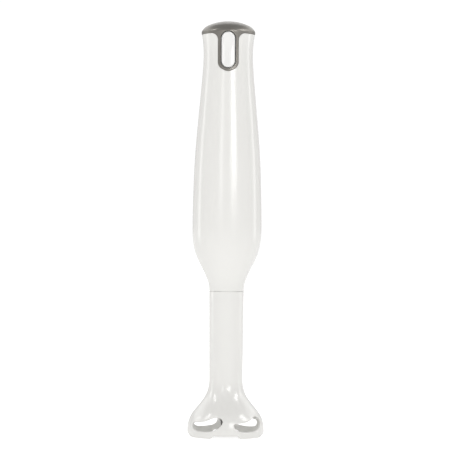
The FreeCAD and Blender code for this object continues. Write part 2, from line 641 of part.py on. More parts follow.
def magnet_clips():
    """Two U-shaped spring clips that push the magnets apart."""
    clips = []
    for middle in (90, 270):
        back = sector(19.7, 19.0, 203.0, 239.0, middle, 42)
        legs = [sector(19.2, 16.2, 203.0, 239.0, middle + side * 20, 2) for side in (-1, 1)]
        clips.append(fused([back] + legs))
    return Part.makeCompound(clips)


def motor_end_cap():
    """Moulded end cap: rim, top plate, bearing boss, brush tunnels and board posts."""
    rim = tube(CAN_R, 19.0, CAN_TOP_Z + 0.02, END_CAP_TOP_Z)
    plate = cylinder(CAN_R, 260.0, END_CAP_TOP_Z)
    boss_part = cylinder(7.0, 257.4, 267.0)
    posts = [cylinder(2.4, END_CAP_TOP_Z - 1, BOARD_Z, *polar(12.0, angle)) for angle in (90, 270)]
    tunnels = [block(min(a, b), max(a, b), -4.2, 4.2, 247.6, 261.0).common(cylinder(19.5, 240, 262))
               for a, b in ((8.2, 19.5), (-8.2, -19.5))]
    cap = fused([rim, plate, boss_part] + posts + tunnels)
    cap = cap.cut(block(-18.9, 18.9, -2.9, 2.9, BRUSH_Z - 2.9, BRUSH_Z + 2.9))
    cap = cap.cut(cylinder(BUSH_R + BORE_GAP, 258.4, 268)).cut(cylinder(SHAFT_R + 0.6, 250, 259))
    for x, y in (polar(12.0, 90), polar(12.0, 270)):
        cap = cap.cut(cylinder(1.02, BOARD_Z - 6, BOARD_Z + 1, x, y))
    for angle in (45, 135, 225, 315):
        cap = cap.cut(cylinder(2.4, 258, 264, *polar(13.5, angle)))
    for side in (-1, 1):
        cap = cap.cut(block(side * 16.3 - 0.32, side * 16.3 + 0.32, -2.42, 2.42, 258.0, 263.0))
    return cap


def brush_holders():
    """Two brass boxes that guide the brushes."""
    boxes = []
    for side in (-1, 1):
        shell = block(8.6, 18.8, -2.85, 2.85, BRUSH_Z - 2.85, BRUSH_Z + 2.85)
        shell = shell.cut(block(8, 20, -2.45, 2.45, BRUSH_Z - 2.45, BRUSH_Z + 2.45))
        boxes.append(shell if side > 0 else turned(shell, 180))
    return Part.makeCompound(boxes)


def brush(side):
    """Carbon brush whose face follows the commutator."""
    body = block(6.0, BRUSH_OUT_R, -BRUSH_W / 2, BRUSH_W / 2, BRUSH_Z - BRUSH_H / 2, BRUSH_Z + BRUSH_H / 2)
    body = body.cut(cylinder(COMMUTATOR_R + 0.05, 240, 260))
    return body if side > 0 else turned(body, 180)


def brush_spring(side):
    """Coil spring that presses a brush on the commutator."""
    coil = coil_spring(1.6, 0.25, 18.85 - BRUSH_OUT_R, 4)
    coil.rotate(ORIGIN, Y_AXIS, 90)
    coil.translate(V(BRUSH_OUT_R, 0, BRUSH_Z))
    return coil if side > 0 else turned(coil, 180)


def motor_terminals():
    """Two flat tabs that stand on the end cap."""
    tabs = [block(side * 16.3 - 0.3, side * 16.3 + 0.3, -2.4, 2.4, 258.1, 268.0) for side in (-1, 1)]
    return Part.makeCompound(tabs)


def spade_sleeves():
    """Insulated push-on connectors on the motor tabs."""
    sleeves = []
    for side in (-1, 1):
        sleeve = block(side * 16.8 - 1.15, side * 16.8 + 1.15, -3.2, 3.2, 263.4, 269.4)
        slot = block(side * 16.3 - 0.33, side * 16.3 + 0.33, -2.45, 2.45, 263.0, 268.2)
        sleeves.append(sleeve.cut(slot))
    return Part.makeCompound(sleeves)


def lower_damper():
    """Rubber ring that cushions the foot of the motor."""
    return lathe([(17.5, 193.05), (25.0, 193.05), (25.0, 201.0), (CAN_R + BORE_GAP, 201.0),
                  (CAN_R + BORE_GAP, CAN_Z - BORE_GAP), (17.5, CAN_Z - BORE_GAP)])


def upper_damper():
    """Rubber ring round the motor end cap."""
    return tube(24.0, CAN_R + BORE_GAP, 251.0, 257.0)


def control_board():
    """Round circuit board on the motor's end cap."""
    board = cylinder(BOARD_R, BOARD_Z, BOARD_Z + BOARD_T)
    for x, y in (polar(12.0, 90), polar(12.0, 270)):
        board = board.cut(cylinder(1.3, BOARD_Z - 1, BOARD_Z + 3, x, y))
    return board


BOARD_TOP_Z = BOARD_Z + BOARD_T


def bridge_rectifier():
    """Flat block that turns the mains into direct current."""
    body = block(-6.5, 6.5, 4.0, 8.0, BOARD_TOP_Z, BOARD_TOP_Z + 10.0)
    corner = [e for e in body.Edges if e.BoundBox.YLength > 3.9 and e.CenterOfMass.x > 0 and e.CenterOfMass.z > 280]
    return body.makeChamfer(2.0, corner)


def filter_capacitor():
    """Interference suppression capacitor."""
    body = block(-6.6, 6.6, -8.6, -3.0, BOARD_TOP_Z, BOARD_TOP_Z + 11.5)
    return body.makeFillet(0.6, body.Edges)


def choke_coils():
    """Two wound chokes, each a bobbin with its winding."""
    chokes = []
    for side in (-1, 1):
        x, y = side * 11.2, -4.2
        flanges = [cylinder(3.1, low, low + 1.0, x, y) for low in (BOARD_TOP_Z, BOARD_TOP_Z + 11.0)]
        winding = cylinder(2.6, BOARD_TOP_Z + 1.0, BOARD_TOP_Z + 11.0, x, y)
        chokes.append(fused(flanges + [winding]))
    return Part.makeCompound(chokes)


def board_screws():
    """Two screws that hold the board on its posts."""
    screws = []
    for x, y in (polar(12.0, 90), polar(12.0, 270)):
        screw = plain_screw(1.9, 1.2, 1.0, 7.0)
        screw.translate(V(x, y, BOARD_TOP_Z))
        screws.append(screw)
    return Part.makeCompound(screws)


def switch_lead():
    """Lead from the switch's lowest tag down to the board."""
    return wire_lead([(0, 7.4, 325.95), (0, 7.4, 317), (2.5, 5.5, 306), (7.5, 3.0, 295),
                      (10.5, 1.8, 284), (10.8, 1.6, BOARD_TOP_Z + 0.1)], 0.9)


def motor_lead(side):
    """Lead from the board over to a motor tab."""
    return wire_lead([(side * 12.2, 6.6, BOARD_TOP_Z), (side * 12.2, 6.6, 277.5),
                      (side * 17.4, 4.6, 279.0), (side * 18.3, 0.6, 275.5),
                      (side * 17.0, 0, 269.7)], 0.8)


# ---------------------------------------------------------------- bearings and seals
def upper_bearing_holder():
    """Flanged carrier of the upper stem bearing, clamped between two shell rings."""
    body = cylinder(9.0, 150.0, 158.4).fuse(cylinder(13.5, 153.2, 155.2))
    body = body.removeSplitter().cut(cylinder(BUSH_R + BORE_GAP, 150.8, 160))
    return body.cut(cylinder(SHAFT_R + 0.6, 149, 152))


def bearing_carrier():
    """Carrier at the foot of the stem for the lower bearing, seal and felt."""
    bore = BUSH_R + BORE_GAP
    return lathe([(3.3, 19.2), (CARRIER_FLANGE_R, 19.2), (CARRIER_FLANGE_R, BELL_BOSS_Z - BORE_GAP),
                  (CARRIER_R, BELL_BOSS_Z - BORE_GAP), (CARRIER_R, 30.0), (7.1, 30.0), (7.1, 32.0),
                  (CARRIER_R, 32.0), (CARRIER_R, CARRIER_LEDGE_Z + 0.05),
                  (8.1, CARRIER_LEDGE_Z + 0.05), (8.1, CARRIER_LEDGE_Z + 1.2),
                  (CARRIER_R, CARRIER_LEDGE_Z + 1.2), (CARRIER_R, CARRIER_TOP_Z),
                  (bore, CARRIER_TOP_Z), (bore, 19.8), (3.3, 19.8)])


def carrier_circlip():
    """Open spring ring that holds the carrier up in the stem."""
    ring = tube(10.3, 8.15, CARRIER_LEDGE_Z + 0.07, CARRIER_LEDGE_Z + 1.17)
    mouth = block(0, 12, -1.6, 1.6, CARRIER_LEDGE_Z, CARRIER_LEDGE_Z + 2)
    return ring.cut(turned(mouth, 200))


def carrier_o_ring():
    """O-ring between the carrier and the stem."""
    return Part.makeTorus(8.03, 0.88, V(0, 0, 31.0), Z_AXIS)


def shaft_seal():
    """Lip seal that keeps food out of the stem."""
    return lathe([(SHAFT_R + RUN_GAP, 20.4), (3.4, 19.85), (BUSH_R, 19.85), (BUSH_R, 24.2),
                  (4.2, 24.2), (4.2, 21.4), (3.2, 21.4), (SHAFT_R + RUN_GAP, 21.0)])


def oil_felt():
    """Felt washer that keeps the lower bearing oiled."""
    return tube(BUSH_R, SHAFT_R + 0.1, 39.2, 43.0)


# ---------------------------------------------------------------- turning pieces
def motor_shaft():
    """Steel shaft through the armature."""
    shaft = cylinder(SHAFT_R, MOTOR_SHAFT_LOW_Z, MOTOR_SHAFT_TOP_Z)
    return shaft.makeChamfer(0.4, [e for e in shaft.Edges if e.BoundBox.ZLength < 0.01])


def armature_core():
    """Laminated core with slots for the windings."""
    core = tube(ARMATURE_R, SHAFT_R, ARMATURE_Z, ARMATURE_TOP_Z)
    for i in range(SLOT_COUNT):
        mouth = block(11.5, 16, -0.7, 0.7, ARMATURE_Z - 1, ARMATURE_TOP_Z + 1)
        pocket = cylinder(1.75, ARMATURE_Z - 1, ARMATURE_TOP_Z + 1, 11.2, 0)
        core = core.cut(turned(mouth.fuse(pocket), 360 / SLOT_COUNT * i))
    return core


def armature_windings():
    """Copper bundles in the slots, joined by the end turns."""
    ends = [tube(13.3, 5.6, low, high) for low, high in ((198.6, ARMATURE_Z), (ARMATURE_TOP_Z, 243.4))]
    ends = [ring.makeFillet(2.2, outer_rim(ring, 13.3, outward)) for ring, outward in
            zip(ends, (198.6, 243.4))]
    bars = [cylinder(1.72, ARMATURE_Z - 0.5, ARMATURE_TOP_Z + 0.5, *polar(11.2, 360 / SLOT_COUNT * i))
            for i in range(SLOT_COUNT)]
    return fused(ends + bars)


def outer_rim(ring, radius, height):
    """The outer circular edge of a ring at one height."""
    return [e for e in ring.Edges if abs(e.BoundBox.XLength - 2 * radius) < 0.01
            and abs(e.CenterOfMass.z - height) < 0.01]


def commutator():
    """Segmented copper commutator."""
    drum = tube(COMMUTATOR_R, SHAFT_R, COMMUTATOR_Z, COMMUTATOR_TOP_Z)
    riser = tube(COMMUTATOR_R + 1.2, SHAFT_R, COMMUTATOR_Z, COMMUTATOR_Z + 1.6)
    drum = fused([drum, riser])
    for i in range(SLOT_COUNT):
        groove = block(5.8, 10, -0.25, 0.25, COMMUTATOR_Z - 1, COMMUTATOR_TOP_Z + 1)
        drum = drum.cut(turned(groove, 360 / SLOT_COUNT * (i + 0.5)))
    return drum


def cooling_fan():
    """Radial fan under the motor."""
    hub = tube(5.0, SHAFT_R, 182.4, 188.4)
    disc = tube(17.0, SHAFT_R, 182.4, 183.6)
    blades = [turned(block(4.6, 16.8, -0.5, 0.5, 183.2, 188.2), 40 * i) for i in range(9)]
    return fused([hub, disc] + blades)


JAW_R, JAW_SPAN = 8.5, 43


def coupling_lower():
    """Jaw coupling half on the drive shaft."""
    hub = tube(JAW_R, SHAFT_R, 160.5, SHAFT_TOP_Z)
    jaws = [sector(JAW_R, 3.4, SHAFT_TOP_Z - 0.5, 174.2, middle, JAW_SPAN) for middle in (0, 180)]
    return fused([hub] + jaws)


def coupling_upper():
    """Jaw coupling half on the motor shaft."""
    hub = tube(JAW_R, SHAFT_R, MOTOR_SHAFT_LOW_Z, 181.0)
    jaws = [sector(JAW_R, 3.4, 167.3, MOTOR_SHAFT_LOW_Z + 0.5, middle, JAW_SPAN) for middle in (90, 270)]
    return fused([hub] + jaws)


def coupling_spider():
    """Rubber star between the coupling jaws."""
    core = cylinder(3.3, 167.2, 174.3)
    arms = [sector(8.3, 3.0, 167.4, 174.1, 45 + 90 * i, 90 - JAW_SPAN - 1) for i in range(4)]
    return fused([core] + arms)


def drive_shaft():
    """Long shaft down the stem."""
    shaft = cylinder(SHAFT_R, SHAFT_LOW_Z, SHAFT_TOP_Z)
    return shaft.makeChamfer(0.4, [e for e in shaft.Edges if e.BoundBox.ZLength < 0.01])


def blade():
    """Two-wing stainless blade: one wing bent up, the other bent slightly down."""
    path_up = wing_profile(1, 26.0)
    path_down = wing_profile(-1, -14.0)
    strip = fused([path_up, path_down])
    outline = rounded_wire([V(-4.6, -8, 0), V(-4.0, -BLADE_REACH, 0), V(1.6, -BLADE_REACH - 0.6, 0),
                            V(5.0, -8, 0), V(4.6, 8, 0), V(4.0, BLADE_REACH, 0),
                            V(-1.6, BLADE_REACH + 0.6, 0), V(-5.0, 8, 0)],
                           [6, 2.2, 2.5, 6, 6, 2.2, 2.5, 6])
    plan = Part.Face(outline).extrude(V(0, 0, 40))
    wings = strip.common(plan)
    disc = cylinder(6.2, BLADE_Z, BLADE_Z + BLADE_T)
    plate = fused([wings, disc])
    return plate.cut(cylinder(SHAFT_R, 0, 40))


def wing_profile(side, bend_deg):
    """One half of the blade strip, bent about X at a set distance from the axis."""
    bend_at, thick = 9.0, BLADE_T
    run = BLADE_REACH + 3 - bend_at
    rise = run * math.tan(math.radians(bend_deg))
    low = [V(-9, 0, BLADE_Z), V(-9, side * bend_at, BLADE_Z), V(-9, side * (bend_at + run), BLADE_Z + rise)]
    high = [p + V(0, 0, thick) for p in reversed(low)]
    return Part.Face(Part.makePolygon(low + high + low[:1])).extrude(V(18, 0, 0))


def blade_hub():
    """Moulded boss that carries the blade on the shaft."""
    boss_part = tube(5.4, SHAFT_R, BLADE_Z + BLADE_T, 18.4)
    return boss_part.makeFillet(1.0, outer_rim(boss_part, 5.4, 18.4))


def blade_nut():
    """Domed hexagon nut under the blade."""
    corners = [V(*polar(4.4, 60 * i), BLADE_Z - 3.2) for i in range(6)]
    nut = Part.Face(Part.makePolygon(corners + corners[:1])).extrude(V(0, 0, 3.2))
    dome = Part.makeSphere(5.2, V(0, 0, BLADE_Z + 0.6))
    return nut.common(dome).cut(cylinder(SHAFT_R, SHAFT_LOW_Z, BLADE_Z + 1))


def thrust_washer():
    """Slippery washer between the blade boss and the carrier."""
    return tube(4.6, SHAFT_R + 0.05, 18.42, 19.1)


# ---------------------------------------------------------------- write every sub-part
def make_all():
    """Name of each sub-part with its solid or group of separate solids."""
    blank, groove = shell_blank(), seam_groove()
    return {
        "stem_and_bell": stem_and_bell(),
        "front_shell": front_shell(blank, groove),
        "rear_shell": rear_shell(blank, groove),
        "housing_screws": housing_screws(),
        "top_cap": top_cap(),
        "cord_grommet": cord_grommet(),
        "cord_clamp": cord_clamp(),
        "clamp_screws": clamp_screws(),
        "power_button": power_button(),
        "button_spring": button_spring(),
        "switch_body": switch_body(),
        "switch_plunger": switch_plunger(),
        "switch_terminals": switch_terminals(),
        "switch_bracket": switch_bracket(),
        "switch_pins": switch_pins(),
        "bracket_screws": bracket_screws(),
        "motor_can": motor_can(),
        "motor_lower_bush": bush(191.1, 197.0),
        "motor_upper_bush": bush(258.6, 266.0),
        "motor_magnets": motor_magnets(),
        "magnet_clips": magnet_clips(),
        "motor_end_cap": motor_end_cap(),
        "brush_holders": brush_holders(),
        "brush_right": brush(1),
        "brush_left": brush(-1),
        "brush_spring_right": brush_spring(1),
        "brush_spring_left": brush_spring(-1),
        "motor_terminals": motor_terminals(),
        "spade_sleeves": spade_sleeves(),
        "lower_damper": lower_damper(),
        "upper_damper": upper_damper(),
        "control_board": control_board(),
        "bridge_rectifier": bridge_rectifier(),
        "filter_capacitor": filter_capacitor(),
        "choke_coils": choke_coils(),
        "board_screws": board_screws(),
        "switch_lead": switch_lead(),
        "motor_lead_right": motor_lead(1),
        "motor_lead_left": motor_lead(-1),
        "upper_bearing_holder": upper_bearing_holder(),
        "stem_upper_bush": bush(151.0, 158.0),
        "bearing_carrier": bearing_carrier(),
        "carrier_circlip": carrier_circlip(),
        "carrier_o_ring": carrier_o_ring(),
        "stem_lower_bush": bush(24.4, 39.0),
        "shaft_seal": shaft_seal(),
        "oil_felt": oil_felt(),
        "motor_shaft": motor_shaft(),
        "armature_core": armature_core(),
        "armature_windings": armature_windings(),
        "commutator": commutator(),
        "cooling_fan": cooling_fan(),
        "coupling_upper": coupling_upper(),
        "coupling_spider": coupling_spider(),
        "coupling_lower": coupling_lower(),
        "drive_shaft": drive_shaft(),
        "blade_hub": blade_hub(),
        "blade": blade(),
        "blade_nut": blade_nut(),
        "thrust_washer": thrust_washer(),
    }


def main():
    """Writes one STEP file for each sub-part."""
    os.makedirs("parts", exist_ok=True)
    for name, shape in make_all().items():
        shape.exportStep(f"parts/{name}.step")
        print(f"{name}: {len(shape.Solids)} solid(s), {shape.Volume:.1f} mm3, valid {shape.isValid()}")


main()
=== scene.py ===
"""Looks of an immersion blender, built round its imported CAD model.

Lengths are millimetres until a mesh is made.
"""

import json
import math

import bpy
import numpy as np
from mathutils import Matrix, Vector, geometry


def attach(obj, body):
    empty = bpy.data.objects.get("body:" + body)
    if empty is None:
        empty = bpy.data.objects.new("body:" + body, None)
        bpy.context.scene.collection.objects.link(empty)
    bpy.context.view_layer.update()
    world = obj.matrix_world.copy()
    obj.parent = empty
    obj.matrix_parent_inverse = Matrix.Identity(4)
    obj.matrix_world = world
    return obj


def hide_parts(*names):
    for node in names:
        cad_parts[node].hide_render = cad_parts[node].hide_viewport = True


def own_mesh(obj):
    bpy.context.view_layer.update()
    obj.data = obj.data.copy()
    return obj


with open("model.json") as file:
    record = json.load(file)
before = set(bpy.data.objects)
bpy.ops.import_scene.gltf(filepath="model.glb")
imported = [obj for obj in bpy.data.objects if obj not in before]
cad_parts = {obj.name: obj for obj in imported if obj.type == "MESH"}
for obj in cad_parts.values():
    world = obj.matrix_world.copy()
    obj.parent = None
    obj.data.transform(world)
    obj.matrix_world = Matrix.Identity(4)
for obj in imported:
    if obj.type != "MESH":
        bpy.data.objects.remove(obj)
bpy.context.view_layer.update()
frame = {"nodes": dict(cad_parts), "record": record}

MM = 0.001

# ------------------------------------------------------------------ sizes shared with the CAD model
HEIGHT = 369.6
WALL, BELL_WALL = 2.4, 2.3
NECK_Z, SHOULDER_Z, CAP_Z, TOP_Z = 53.0, 129.0, 357.5, 364.0
SHOULDER_R = 15.5
BELL_OUTLINE = [(0.0, 34.05), (5.3, 34.2), (12.5, 33.3), (17.8, 31.3), (23.1, 27.7),
                (30.2, 21.9), (35.6, 18.3), (40.9, 16.1), (46.3, 15.1), (NECK_Z, 14.9)]
BODY_OUTLINE = [(125.0, 15.42), (SHOULDER_Z, SHOULDER_R), (135.2, 16.1), (140.6, 17.8), (148.6, 21.5),
                (156.6, 25.5), (164.6, 28.5), (175.0, 30.4), (187.0, 30.8), (208.0, 30.5),
                (250.9, 28.9), (293.6, 25.35), (320.0, 23.05), (337.0, 22.05),
                (348.0, 22.4), (355.5, 23.3), (TOP_Z, 24.7)]
CAP_R, CAP_WIDE_Z, CAP_FOOT_R = 23.95, 359.3, 23.75
CROWN_R, HAUNCH_R, RIM_R = 44.0, 12.0, 3.0
SPIGOT_R, SPIGOT_BORE = 19.85, 18.3
WINDOW_OUTLINE = [(-15.9, 11.6), (-14.5, 8.4), (-10.0, 6.5), (-2.5, 6.0), (6.0, 6.8), (12.9, 10.3),
                  (15.0, 15.2), (11.4, 18.2), (2.5, 16.4), (-8.6, 13.6)]
WINDOW_ANGLES = (-33.0, 42.5, 147.0, 222.5)
BELL_CEILING_Z, BELL_BOSS_Z, BELL_BOSS_R = 34.0, 22.0, 11.4
NECK_R, STEM_BORE_R, SEAL_BORE_R, SEAL_BORE_Z = 14.9, 12.4, 8.97, 40.0
STEM_PLUG_R, PLUG_BORE_R, PLUG_FLANGE_R, PLUG_TOP_Z = 13.0, 10.8, 15.6, 147.0
FOOT_RING_R, FRONT_ARCH_H, SIDE_ARCH_H = 34.0, 2.3, 2.7
TRIM_HALF_W, TRIM_TIP_Z, TRIM_FLANK_Z = 9.1, 323.1, 327.3
TRIM_TIP_R, TRIM_FLANK_R, TRIM_THROAT_R = 6.0, 7.5, 6.2
TRIM_PROUD, TRIM_BACK = 0.3, 3.75
BUTTON_LOW_Z, BUTTON_TOP_Z, BUTTON_W, BUTTON_GAP, FLANGE_RIM = 327.0, 358.2, 11.8, 0.8, 1.7
SCREW_SPOTS = [(14.5, 304.0), (17.5, 176.0)]
SHELL_WEBS = [(139.0, 142.8, 13.1), (145.7, 148.2, 13.1), (150.6, 153.1, 9.2), (155.3, 157.8, 9.2),
              (190.6, 193.0, 19.0), (196.0, 199.0, 25.05), (252.0, 256.0, 24.05), (262.2, 264.2, 18.5)]
VENT_SPOTS = [(266.0, 5, 11.0), (179.4, 3, 10.5)]
VENT_PITCH, VENT_H = 4.4, 1.8
CORD_R, GLAND_R, GLAND_FLANGE_R, CAP_HOLE_R = 3.3, 5.4, 7.5, 5.6
PRESS_Z, PRESS_TRAVEL, PLATE_Y, SPRING_SEAT_Y = 342.2, 2.2, -12.0, -16.1
BRUSH_Z, BRUSH_OUT_R, BRUSH_BOX_R, BRUSH_TRAVEL = 252.0, 15.0, 18.85, 1.5


# ------------------------------------------------------------------ curves
def unit(v):
    """Rows scaled to length 1."""
    v = np.asarray(v, float)
    return v / np.maximum(np.linalg.norm(v, axis=-1, keepdims=True), 1e-12)


def hermite(p, d, t, per_span):
    """Dense points and directions of a cubic curve from its nodes and their derivatives."""
    points, directions = [], []
    for i in range(len(p) - 1):
        h = t[i + 1] - t[i]
        s = np.linspace(0, 1, per_span, endpoint=False)[:, None]
        if i == len(p) - 2:
            s = np.linspace(0, 1, per_span + 1)[:, None]
        a, b, m, n = p[i], p[i + 1], d[i] * h, d[i + 1] * h
        points.append((2 * s**3 - 3 * s**2 + 1) * a + (s**3 - 2 * s**2 + s) * m
                      + (3 * s**2 - 2 * s**3) * b + (s**3 - s**2) * n)
        directions.append((6 * s**2 - 6 * s) * (a - b) + (3 * s**2 - 4 * s + 1) * m + (3 * s**2 - 2 * s) * n)
    return np.concatenate(points), unit(np.concatenate(directions))


def spline(points, start=None, end=None, per_span=24, closed=False):
    """Smooth curve through points, by chord length, with set end directions or closed on itself."""
    p = np.array(points, float)
    if closed:
        p = np.concatenate([p, p[:1]])
    h = np.linalg.norm(np.diff(p, axis=0), axis=1)
    t = np.concatenate([[0], np.cumsum(h)])
    n = len(p)
    left, right = np.zeros((n, n)), np.zeros((n, 2))
    for i in range(1, n - 1):
        left[i, i - 1], left[i, i], left[i, i + 1] = 1 / h[i - 1], 2 / h[i - 1] + 2 / h[i], 1 / h[i]
        right[i] = 3 * ((p[i] - p[i - 1]) / h[i - 1] ** 2 + (p[i + 1] - p[i]) / h[i] ** 2)
    if closed:
        left[0, 0], left[0, -1] = 1, -1
        left[-1, 0], left[-1, 1] = 2 / h[0], 1 / h[0]
        left[-1, -1], left[-1, -2] = 2 / h[-1], 1 / h[-1]
        right[-1] = 3 * ((p[1] - p[0]) / h[0] ** 2 + (p[-1] - p[-2]) / h[-1] ** 2)
    else:
        left[0, 0] = left[-1, -1] = 1
        right[0], right[-1] = unit(start), unit(end)
    dense, directions = hermite(p, np.linalg.solve(left, right), t, per_span)
    return (dense[:-1], directions[:-1]) if closed else (dense, directions)


def rounded_path(corners, radii, step=0.5):
    """Open path through corners, each turned by a tangent arc of its own radius."""
    path = [np.array(corners[0], float)]
    for before, corner, after, radius in zip(corners, corners[1:], corners[2:], radii[1:]):
        corner = np.array(corner, float)
        u, v = unit(np.array(before) - corner), unit(np.array(after) - corner)
        half = math.acos(np.clip(u @ v, -1, 1)) / 2
        reach, centre = radius / math.tan(half), corner + unit(u + v) * radius / math.sin(half)
        first, last = corner + u * reach - centre, corner + v * reach - centre
        turn = math.pi - 2 * half
        sign = 1 if first[0] * last[1] - first[1] * last[0] > 0 else -1
        count = max(3, round(radius * turn / step))
        for k in range(count + 1):
            a = sign * turn * k / count
            c, s = math.cos(a), math.sin(a)
            path.append(centre + np.array([first[0] * c - first[1] * s, first[0] * s + first[1] * c]))
    path.append(np.array(corners[-1], float))
    return resampled(np.array(path), step)


def resampled(path, step):
    """The same path with long straight runs divided."""
    points = [path[0]]
    for a, b in zip(path, path[1:]):
        length = np.linalg.norm(b - a)
        if length < 1e-6:
            continue
        count = max(1, math.ceil(length / step - 0.3))
        points += [a + (b - a) * k / count for k in range(1, count + 1)]
    return np.array(points)


def capsule(grow, step=0.5):
    """Closed outline of the button as (x, z), anticlockwise, grown all round."""
    radius = BUTTON_W / 2 + grow
    low, high = BUTTON_LOW_Z + BUTTON_W / 2, BUTTON_TOP_Z - BUTTON_W / 2
    count = max(12, round(math.pi * radius / step))
    arc = np.linspace(0, math.pi, count + 1)
    top = np.stack([radius * np.cos(arc), high + radius * np.sin(arc)], 1)
    bottom = np.stack([-radius * np.cos(arc), low - radius * np.sin(arc)], 1)
    return resampled(np.concatenate([top, bottom, top[:1]]), step)[:-1]


def trim_outline(grow, step=0.5):
    """Open outline of the trim as (x, z), from its left shoulder on the cap seam round to the right."""
    half, seam, throat = TRIM_HALF_W + grow, CAP_Z - grow, TRIM_THROAT_R - grow
    left = [(-half - throat, seam), (-half, seam), (-half, TRIM_FLANK_Z - grow / 2), (0, TRIM_TIP_Z - grow)]
    right = [(-x, z) for x, z in reversed(left[:-1])]
    return rounded_path(left + right, [0, throat, TRIM_FLANK_R, TRIM_TIP_R, TRIM_FLANK_R, throat, 0], step)


def offset_loop(loop, distance, closed=True):
    """Loop moved to the left of its direction of travel."""
    loop = np.asarray(loop, float)
    if closed:
        into, out = loop - np.roll(loop, 1, 0), np.roll(loop, -1, 0) - loop
    else:
        into, out = np.diff(loop, axis=0, prepend=loop[:1] * 2 - loop[1:2]), np.diff(
            loop, axis=0, append=loop[-1:] * 2 - loop[-2:-1])
    n1, n2 = [unit(np.stack([-d[:, 1], d[:, 0]], 1)) for d in (into, out)]
    middle = unit(n1 + n2)
    return loop + middle * distance / np.maximum((middle * n1).sum(1), 0.5)[:, None]


def crossed(points, loop):
    """How many edges of a closed loop lie to the right of each point."""
    a, b = loop, np.roll(loop, -1, 0)
    x, y = points[:, :1], points[:, 1:]
    rise = np.where(b[:, 1] == a[:, 1], 1, b[:, 1] - a[:, 1])
    spans = (a[:, 1] > y) != (b[:, 1] > y)
    return (spans & (x < a[:, 0] + (y - a[:, 1]) / rise * (b[:, 0] - a[:, 0]))).sum(1)


# ------------------------------------------------------------------ surfaces of revolution
class Skin:
    """Surface of revolution about +Z, from samples of height, radius and outward normal."""

    def __init__(self, samples, directions, offset=0.0):
        normals = np.stack([-directions[:, 1], directions[:, 0]], 1)
        moved = samples + normals * offset
        order = np.argsort(moved[:, 0], kind="stable")
        self.z, self.r = moved[order, 0], moved[order, 1]
        self.nz, self.nr = normals[order, 0], normals[order, 1]

    def radius(self, z):
        return np.interp(z, self.z, self.r)

    def at(self, angle, z):
        """Points and normals at angles from -Y towards +X, in radians, and heights."""
        r = self.radius(z)
        n = unit(np.stack([np.interp(z, self.z, self.nr), np.interp(z, self.z, self.nz)], -1))
        s, c = np.sin(angle), np.cos(angle)
        return (np.stack([r * s, -r * c, np.broadcast_to(z, np.shape(r))], -1),
                np.stack([n[..., 0] * s, -n[..., 0] * c, n[..., 1]], -1))


def bell_skin(offset=0.0):
    return Skin(*spline(BELL_OUTLINE, (1, 0.03), (1, 0.008)), offset)


def body_skin(offset=0.0):
    return Skin(*spline(BODY_OUTLINE, (1, 0.006), (1, 0.15)), offset)


def front_angle(skin, x, z):
    """Angle at which a point of the front surface has this x."""
    return np.arcsin(np.clip(x / skin.radius(z), -1, 1))


def on_front(skin, outline):
    """(angle, height) rows of an (x, z) outline laid on the front of a surface."""
    return np.stack([front_angle(skin, outline[:, 0], outline[:, 1]), outline[:, 1]], 1)


def full_band(low, angles, high, count):
    """Outline of a full turn of surface, from its lower edge to a level top."""
    rise = np.linspace(low[0, 1], high, count)[1:-1]
    right = np.stack([np.full_like(rise, angles[-1]), rise], 1)
    left = np.stack([np.full_like(rise, angles[0]), rise[::-1]], 1)
    top = np.stack([angles[::-1], np.full_like(angles, high)], 1)
    return np.concatenate([low, right, top, left])


